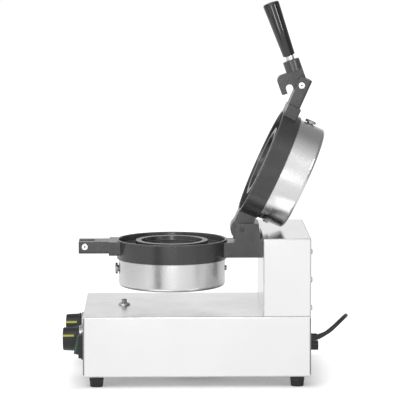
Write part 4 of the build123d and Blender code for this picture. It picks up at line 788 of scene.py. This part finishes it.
@dataclass(frozen=True)
class Studio:
    """The camera at the photograph's place, the pale floor and the soft light."""

    place: Point = (3.6626, -0.04635, 0.69135)
    turn: Point = (83.394, 0.08, 89.119)
    lens: float = 217.3
    sensor: float = 36.0
    farthest: float = 60.0
    soft_levels: Span = (0.8288, 0.518)
    shine_near: float = 1.0
    shine_top: float = 0.36
    shine_horizon: float = 0.86
    shine_back: float = 0.35
    shine_front: float = 0.66
    near_span: Span = (-0.3, 0.75)
    horizon_span: Span = (0.25, 0.55)
    back_span: Span = (0.2, 0.95)
    front_span: Span = (-0.95, -0.3)
    floor_grey: float = 0.84
    floor_reach: float = 14.0
    footprint: Point = (0.12, 0.17, 0.0)
    # span and glow levels of a painted shadow round the press's footprint on the floor
    shadow_pool_span: Span = (-0.02, 0.055)
    shadow_pool_glow_levels: Span = (0.13, 0.6)
    glow_shine: float = 0.3
    key_place: Point = (1.3, -0.9, 2.4)
    key_size: Span = (2.2, 2.0)
    key_aim: Point = (0.0, 0.0, 0.25)
    key_watts: float = 17.0
    cards: tuple[Card, ...] = (
        Card("side_card", (-0.1, 0.95, 0.0), width=1.9, height=0.9, heading=0.0, level=0.3),
        Card("front_card", (-0.2, -1.05, 0.0), width=1.7, height=0.9, heading=0.0, level=0.68),
        Card("slim_card", (0.58, -0.345, 0.0), width=0.17, height=0.3, heading=59.0, level=0.15),
        Card("upper_streak", (0.86, 0.94, 0.5), width=0.16, height=0.54, heading=137.0, level=16.0),
        Card("long_streak", (1.2, -0.03, 0.12), width=0.16, height=0.44, heading=88.0, level=8.0),
    )

    def camera(self) -> None:
        """Places the camera."""
        data = bpy.data.cameras.new("photo_camera")
        data.lens = self.lens
        data.sensor_width = self.sensor
        data.clip_end = self.farthest
        camera = linked("photo_camera", data)
        camera.location = self.place
        camera.rotation_euler = tuple(radians(a) for a in self.turn)
        bpy.context.scene.camera = camera

    def ramp(self, tree: Tree, value: Socket, span: Span, levels: Span) -> Socket:
        """Adds a level that changes smoothly.

        Args:
            tree: The node tree.
            value: The value that it follows.
            span: Where the change starts and ends.
            levels: The levels before and after it.

        Returns:
            The level.
        """
        node = tree.nodes.new("ShaderNodeMapRange")
        node.interpolation_type = "SMOOTHSTEP"
        return follow(tree, node, value, levels, span)

    def pick(self, tree: Tree, share: Socket, under: Socket | float, top: Socket | float) -> Socket:
        """Adds a number that is under where share is 0 and top where it is 1.

        Args:
            tree: The node tree.
            share: The share.
            under: The number at 0, as a socket or a plain value.
            top: The number at 1, likewise.

        Returns:
            The number.
        """
        mix = tree.nodes.new("ShaderNodeMix")
        for label, value in (("Factor", share), ("A", under), ("B", top)):
            fill(tree, mix.inputs[label], value)
        return mix.outputs["Result"]

    def world(self) -> None:
        """A soft studio round the press.

        The eye and clear plastic see plain white, and matt surfaces get the soft level. Shiny ones
        see a level that is highest towards the camera's side (+X), low overhead, pale along the
        horizon, and that falls to the front (-Y) and more to the back (+Y).
        """
        world = bpy.data.worlds.new("studio")
        bpy.context.scene.world = world
        tree = cleared(world)
        back = tree.nodes.new("ShaderNodeBackground")
        back.inputs["Color"].default_value = (1.0, 1.0, 1.0, 1.0)
        out = tree.nodes.new("ShaderNodeOutputWorld")
        coords = tree.nodes.new("ShaderNodeTexCoord")
        parts = tree.nodes.new("ShaderNodeSeparateXYZ")
        tree.links.new(coords.outputs["Generated"], parts.inputs["Vector"])
        x, y, z = parts.outputs
        rays = tree.nodes.new("ShaderNodeLightPath").outputs
        near = self.ramp(tree, x, self.near_span, (self.shine_top, self.shine_near))
        horizon = self.ramp(tree, z, self.horizon_span, (self.shine_horizon, 0.0))
        behind = self.ramp(tree, y, self.back_span, (1.0, self.shine_back))
        front = self.ramp(tree, y, self.front_span, (self.shine_front, 1.0))
        soft = self.ramp(tree, y, (-1.0, 1.0), self.soft_levels)
        level = add_math(tree, "MAXIMUM", near, horizon)
        fall = add_math(tree, "MULTIPLY", level, add_math(tree, "MULTIPLY", behind, front))
        seen = add_math(tree, "MAXIMUM", rays["Is Camera Ray"], rays["Is Transmission Ray"])
        shiny = self.pick(tree, rays["Is Glossy Ray"], soft, fall)
        tree.links.new(self.pick(tree, seen, shiny, 1.0), back.inputs["Strength"])
        tree.links.new(back.outputs["Background"], out.inputs["Surface"])

    def floor(self) -> None:
        """A pale floor that keeps the press's cast shadow, deepens it with a painted shadow round the
        footprint, and turns white to the eye away from it.

        Its glow follows the distance outside the footprint, the greater of |x| and |y| less its half sizes,
        and is dimmest at the footprint: that dim glow is painted shadow.
        """
        reach = self.floor_reach
        corners = [(-reach, -reach, 0), (reach, -reach, 0), (reach, reach, 0), (-reach, reach, 0)]
        mesh = bpy.data.meshes.new("studio_floor")
        mesh.from_pydata(corners, [], [(0, 1, 2, 3)])
        floor = linked("studio_floor", mesh)
        material = bpy.data.materials.new("pale_floor")
        tree = cleared(material)
        diffuse = tree.nodes.new("ShaderNodeBsdfDiffuse")
        diffuse.inputs["Color"].default_value = (*grey(self.floor_grey), 1.0)
        glow = tree.nodes.new("ShaderNodeEmission")
        both = tree.nodes.new("ShaderNodeAddShader")
        out = tree.nodes.new("ShaderNodeOutputMaterial")
        coords = tree.nodes.new("ShaderNodeTexCoord")
        sides = tree.nodes.new("ShaderNodeSeparateXYZ")
        rays = tree.nodes.new("ShaderNodeLightPath").outputs
        flat = add_math(tree, "ABSOLUTE", coords.outputs["Object"], vector=True)
        outside = add_math(tree, "SUBTRACT", flat, self.footprint, vector=True)
        tree.links.new(outside, sides.inputs["Vector"])
        away = add_math(tree, "MAXIMUM", sides.outputs["X"], sides.outputs["Y"])
        # painted shadow: the floor's glow to the eye is dimmed near the press's footprint
        rise = self.ramp(tree, away, self.shadow_pool_span, self.shadow_pool_glow_levels)
        eye = add_math(tree, "MULTIPLY", rays["Is Camera Ray"], rise)
        shine = add_math(tree, "MULTIPLY_ADD", rays["Is Glossy Ray"], self.glow_shine, eye)
        tree.links.new(shine, glow.inputs["Strength"])
        tree.links.new(diffuse.outputs["BSDF"], both.inputs[0])
        tree.links.new(glow.outputs["Emission"], both.inputs[1])
        tree.links.new(both.outputs["Shader"], out.inputs["Surface"])
        mesh.materials.append(material)

    def lamp(self) -> None:
        """A large soft box over the camera's side, aimed at the middle of the press."""
        data = bpy.data.lights.new("key_softbox", "AREA")
        data.shape = "RECTANGLE"
        data.size, data.size_y = self.key_size
        data.energy = self.key_watts
        lamp = linked("key_softbox", data)
        lamp.location = self.key_place
        aim = Vector(self.key_aim) - Vector(self.key_place)
        lamp.rotation_euler = aim.to_track_quat("-Z", "Y").to_euler()

    def build(self) -> None:
        """Sets the view transform and builds the studio."""
        bpy.context.scene.view_settings.view_transform = "Standard"
        self.camera()
        self.world()
        self.floor()
        self.lamp()
        for card in self.cards:
            card.build()
        log.info("studio ready")


@dataclass(frozen=True)
class MainsLead:
    """The mains lead: up from its gland, over in a loose arch, down to the bench and into a neat coil."""

    radius: float = 0.00325
    route: tuple[Point, ...] = (
        (0.0, 0.189868, 0.055615),
        (0.0, 0.198519, 0.058096),
        (-0.0008, 0.208268, 0.063515),
        (-0.0052, 0.217368, 0.071115),
        (-0.0158, 0.226968, 0.078115),
        (-0.034, 0.233968, 0.080515),
        (-0.06, 0.238568, 0.078715),
        (-0.088, 0.236468, 0.070115),
        (-0.112, 0.225468, 0.053515),
        (-0.1295, 0.206968, 0.033915),
        (-0.1385, 0.183968, 0.023615),
        (-0.142, 0.158968, 0.010815),
        (-0.1435, 0.133968, 0.0033),
        (-0.144, 0.108968, 0.0033),
        (-0.1435, 0.083968, 0.0033),
    )
    heading: tuple[float, float] = (0.019996, -0.999800)
    coil_radius: float = 0.0435
    pitch: float = 0.0071
    rise: float = 0.007
    turns_in: float = 2.5
    turns_up: float = 0.5
    lead_in: float = 0.0065
    lead_out: float = 0.022
    per_turn: int = 24
    smoothness: int = 6

    def coil(self) -> np.ndarray:
        """The coil's control points.

        Each point is centre - beside*r*cos(turn) + ahead*r*sin(turn), with r shrinking by the
        pitch each turn, half a turn that climbs a layer, and then growing again. The radius is
        divided by the share that a quadratic spline cuts inside its control points.

        Returns:
            An array of points.
        """
        ahead = np.array((*self.heading, 0.0))
        beside = np.array((self.heading[1], -self.heading[0], 0.0))
        start = np.array(self.route[-1])
        centre = start + ahead * self.lead_in + beside * self.coil_radius
        total = 2 * self.turns_in + self.turns_up
        turn = np.linspace(0, total, round(total * self.per_turn) + 1)
        inner = self.coil_radius - self.pitch * self.turns_in
        share = np.clip((turn - self.turns_in) / self.turns_up, 0, 1)
        going_in = self.coil_radius - self.pitch * np.minimum(turn, self.turns_in)
        going_out = inner + self.pitch * np.clip(turn - self.turns_in - self.turns_up, 0, None)
        dip = self.pitch * self.turns_up * (share - share**2)
        radius = np.where(turn < self.turns_in, going_in, going_out - dip)
        cut = (3 + np.cos(2 * np.pi / self.per_turn)) / 4
        radius = radius / cut
        height = self.rise * share**2 * (3 - 2 * share)
        angle = (2 * np.pi * turn)[:, None]
        points = centre - beside * radius[:, None] * np.cos(angle) + ahead * radius[:, None] * np.sin(angle)
        points[:, 2] += height
        last = points[-1] - ahead * self.lead_out
        return np.vstack((points, last))

    def build(self, shop: Shop) -> None:
        points = np.vstack((np.array(self.route), self.coil()))
        data = bpy.data.curves.new("mains_lead", "CURVE")
        data.dimensions = "3D"
        data.bevel_depth = self.radius
        data.bevel_resolution = self.smoothness
        data.resolution_u = self.smoothness
        data.render_resolution_u = self.smoothness
        data.use_fill_caps = True
        spline = data.splines.new("NURBS")
        spline.points.add(len(points) - 1)
        flat = np.hstack((points, np.ones((len(points), 1))))
        spline.points.foreach_set("co", flat.ravel())
        spline.order_u = 3
        spline.use_endpoint_u = True
        lead = linked("mains_lead", data)
        shop.hang(lead, Body.PRESS, "cord_rubber", "power_cord", "cord_coil")


@dataclass(frozen=True)
class Handle:
    """The turned phenolic grip on the latch lever's stud."""

    pivot: Point = (0.0, 0.1631965, 0.443239)
    along: Point = (0.0, -0.3354516, 0.9420575)
    across: Point = (0.0, 0.9420575, 0.3354516)
    offset: float = -0.0024
    start: float = 0.0478
    length: float = 0.0858
    bore: float = 0.0041
    bottom: float = 0.0094
    bottom_round: float = 0.001
    top: float = 0.0126
    shoulder: float = 0.0032
    shoulder_depth: float = 0.0046
    dome: float = 0.001

    def build(self, shop: Shop) -> None:
        """Turns the grip: a long taper, a soft shoulder and a low dome.

        The shoulder is a quarter of an ellipse, and the dome falls with the square of the radius.

        Args:
            shop: The shop that makes it.
        """
        along, across = np.array(self.along), np.array(self.across)
        centre = np.array(self.pivot) + self.offset * across + self.start * along
        sweep = np.linspace(0, np.pi / 2, 9)
        crown = self.top - self.shoulder
        shoulder_r = self.top - self.shoulder * (1 - np.cos(sweep))
        shoulder_h = self.length - self.shoulder_depth + (self.shoulder_depth - self.dome) * np.sin(sweep)
        dome_r = crown * np.linspace(1, 0, 7)[1:]
        dome_h = self.length - self.dome * (dome_r / crown) ** 2
        soft = self.bottom_round
        outline = [(self.bore, 0.0), (self.bottom - soft, 0.0)]
        outline += [(self.bottom - 0.3 * soft, 0.3 * soft), (self.bottom, soft)]
        outline += list(zip(shoulder_r, shoulder_h)) + list(zip(dome_r, dome_h))
        grip = shop.turned("turned_grip", outline, tuple(centre), self.along, count=128)
        shop.hang(grip, Body.LATCH, "grip_black", "handle_grip")


@dataclass(frozen=True)
class Knob:
    """A turned control knob with a thin skirt, and its silver collar on the dial.

    The steps are pairs: how far inside a radius, and how high over the seat or the front.
    """

    name: str
    x: float
    body: Body
    node: str
    z: float = 0.064
    panel: float = -0.1672
    seat: float = 0.0079
    front: float = 0.0315
    skirt: float = 0.0194
    rear: float = 0.0182
    nose: float = 0.0174
    rim: float = 0.0022
    dish: float = 0.0007
    skirt_steps: tuple[Span, ...] = ((0.0006, 0.0), (0.0, 0.0006), (0.0, 0.0022), (0.0005, 0.0029))
    neck_steps: tuple[Span, ...] = ((-0.0001, 0.0033), (0.0, 0.0045))
    dish_steps: tuple[Span, ...] = ((0.0045, 0.0), (0.0052, -0.0005))
    collar: tuple[Span, ...] = (
        (0.0062, 0.0029),
        (0.0206, 0.0029),
        (0.0206, 0.0062),
        (0.0199, 0.007),
        (0.015, 0.0074),
        (0.0062, 0.0074),
        (0.0062, 0.0029),
    )

    def outline(self) -> list[Span]:
        """The knob's radii and heights from its seat to the pole.

        Returns:
            The skirt, the neck, a slow taper and a rolled rim round a shallow dish.
        """
        roll = np.linspace(0, np.pi / 2, 9)
        points = [(0.0, self.seat)]
        points += [(self.skirt - inset, self.seat + height) for inset, height in self.skirt_steps]
        points += [(self.rear - inset, self.seat + height) for inset, height in self.neck_steps]
        rim_r = self.nose - self.rim * (1 - np.cos(roll))
        rim_h = self.front - self.rim * (1 - np.sin(roll))
        points += list(zip(rim_r, rim_h))
        points += [(self.nose - inset, self.front + height) for inset, height in self.dish_steps]
        return points + [(0.0, self.front - self.dish)]

    def build(self, shop: Shop) -> None:
        """Turns the knob and its silver collar."""
        centre = (self.x, self.panel, self.z)
        knob = shop.turned(self.name, self.outline(), centre, (0.0, -1.0, 0.0), count=112)
        shop.hang(knob, self.body, "knob_black", self.node)
        collar = shop.turned(self.name + "_collar", list(self.collar), centre, (0.0, -1.0, 0.0))
        shop.hang(collar, Body.PRESS, "dial_silver")


@dataclass(frozen=True)
class Dial:
    """A printed scale round a knob: ticks on the silver plate and numbers on the panel."""

    name: str
    x: float
    labels: tuple[str, ...]
    z: float = 0.064
    panel: float = -0.1672
    thickness: float = 0.0029
    inner: float = 0.0208
    inner_fine: float = 0.0213
    outer: float = 0.0222
    half_width: float = 0.00022
    half_width_fine: float = 0.00012
    number_radius: float = 0.0275
    number_size: float = 0.0046
    first: float = 205.0
    last: float = -65.0
    fine: int = 5
    lift: float = 0.00006
    sunk: float = 0.00002

    def ticks(self) -> bpy.types.Mesh:
        """The ticks, each a flat box whose corners are middle + out*radius + side*half width.

        Returns:
            One mesh of all the ticks; a longer and wider one stands at each number.
        """
        count = (len(self.labels) - 1) * self.fine + 1
        turn = np.radians(np.linspace(self.first, self.last, count))
        still = np.zeros(count)
        out = np.stack((np.cos(turn), still, np.sin(turn)), axis=-1)
        side = np.stack((-np.sin(turn), still, np.cos(turn)), axis=-1)
        numbered = np.arange(count) % self.fine == 0
        near = np.where(numbered, self.inner, self.inner_fine)
        far = np.full(count, self.outer)
        half = np.where(numbered, self.half_width, self.half_width_fine)
        radii = np.stack((near, far, far, near), axis=-1)[..., None]
        halves = (half[:, None] * np.array((-1, -1, 1, 1)))[..., None]
        corners = out[:, None] * radii + side[:, None] * halves
        depths = np.array(((0.0, self.sunk, 0.0), (0.0, -self.lift, 0.0)))
        middle = np.array((self.x, self.panel - self.thickness, self.z))
        points = middle + corners[:, None] + depths[None, :, None]
        box = ((0, 1, 2, 3), (7, 6, 5, 4), (0, 4, 5, 1), (1, 5, 6, 2), (2, 6, 7, 3), (3, 7, 4, 0))
        faces = 8 * np.arange(count)[:, None, None] + np.array(box)
        mesh = bpy.data.meshes.new(self.name)
        mesh.from_pydata(points.reshape(-1, 3).tolist(), [], faces.reshape(-1, 4).tolist())
        return mesh

    def number(self, label: str, angle: float) -> bpy.types.Mesh:
        """A printed number as a flat mesh, upright on the panel.

        Args:
            label: The number.
            angle: Its angle round the knob, in radians.

        Returns:
            The mesh.
        """
        data = bpy.data.curves.new(f"{self.name}_{label}", "FONT")
        data.body = label
        data.size = self.number_size
        data.align_x = "CENTER"
        data.align_y = "CENTER"
        text = bpy.data.objects.new(data.name, data)
        mesh = bpy.data.meshes.new_from_object(text)
        bpy.data.objects.remove(text)
        middle = Vector((np.cos(angle), 0.0, np.sin(angle))) * self.number_radius
        place = Vector((self.x, self.panel - self.lift, self.z)) + middle
        mesh.transform(Matrix.Translation(place) @ Matrix.Rotation(np.pi / 2, 4, "X"))
        return mesh

    def build(self, shop: Shop) -> None:
        """Prints the ticks and the numbers.

        Args:
            shop: The shop that makes them.
        """
        shop.hang(shop.finished(self.name, self.ticks(), 30.0), Body.PRESS, "scale_ink")
        gathered = bmesh.new()
        angles = np.radians(np.linspace(self.first, self.last, len(self.labels)))
        for label, angle in zip(self.labels, angles):
            gathered.from_mesh(self.number(label, float(angle)))
        numbers = bpy.data.meshes.new(self.name + "_numbers")
        gathered.to_mesh(numbers)
        gathered.free()
        shop.hang(linked(self.name + "_numbers", numbers), Body.PRESS, "scale_ink")


@dataclass(frozen=True)
class FoldReflectionBands:
    """Painted dark reflections: darker bands on the rounded upright corners where the brushed sheet folds.
    """

    radius: float = 0.00195
    proud: float = 0.00004
    thickness: float = 0.0001
    margin: float = 4.0
    half_width: float = 0.12
    front: float = -0.1672
    rear: float = 0.1728
    low: float = 0.0185
    high: float = 0.1035
    steps: int = 9
    rows: int = 5

    def band(self, shop: Shop, name: str, corner: Span, start: float) -> None:
        """One band: most of a quarter of a thin tube round the corner's centre, from low to high.

        Args:
            shop: The shop that makes it.
            name: The band's name.
            corner: The centre of the fold.
            start: The angle, in degrees, where its quarter starts.
        """
        angle = np.radians(np.linspace(start + self.margin, start + 90 - self.margin, self.steps))
        arc = np.stack((np.cos(angle), np.sin(angle)), axis=-1)
        outer = self.radius + self.proud
        points = np.empty((self.rows, 2 * self.steps, 3))
        points[..., :2] = np.concatenate((outer * arc, (outer - self.thickness) * arc[::-1])) + corner
        points[..., 2] = np.linspace(self.low, self.high, self.rows)[:, None]
        # painted reflection: a dark shell just proud of the fold stands in for the dark reflection on its
        # rounded corner
        shop.hang(shop.from_grid(name, points, wrap=True), Body.PRESS, "fold_reflection_steel")

    def build(self, shop: Shop) -> None:
        """Puts a band on each upright corner of the base.

        Args:
            shop: The shop that makes them.
        """
        x = self.half_width - self.radius
        front = self.front + self.radius
        rear = self.rear - self.radius
        self.band(shop, "fold_front_right", (x, front), -90.0)
        self.band(shop, "fold_front_left", (-x, front), 180.0)
        self.band(shop, "fold_rear_right", (x, rear), 0.0)
        self.band(shop, "fold_rear_left", (-x, rear), 90.0)


def main() -> None:
    """Builds the studio, the lead and the finer pieces in order."""
    logging.basicConfig(level=logging.INFO, format="%(message)s")
    Studio().build()
    shop = Shop()
    MainsLead().build(shop)
    shop.dress_nodes()
    Handle().build(shop)
    Knob("thermostat_turned_knob", -0.062, Body.THERMOSTAT, "thermostat_knob").build(shop)
    Knob("timer_turned_knob", 0.062, Body.TIMER, "timer_knob").build(shop)
    FoldReflectionBands().build(shop)
    Dial("thermostat_scale", -0.062, ("0", "50", "100", "150", "200", "250", "300")).build(shop)
    Dial("timer_scale", 0.062, ("0", "1", "2", "3", "4", "5", "6")).build(shop)


if __name__ == "__main__":
    main()
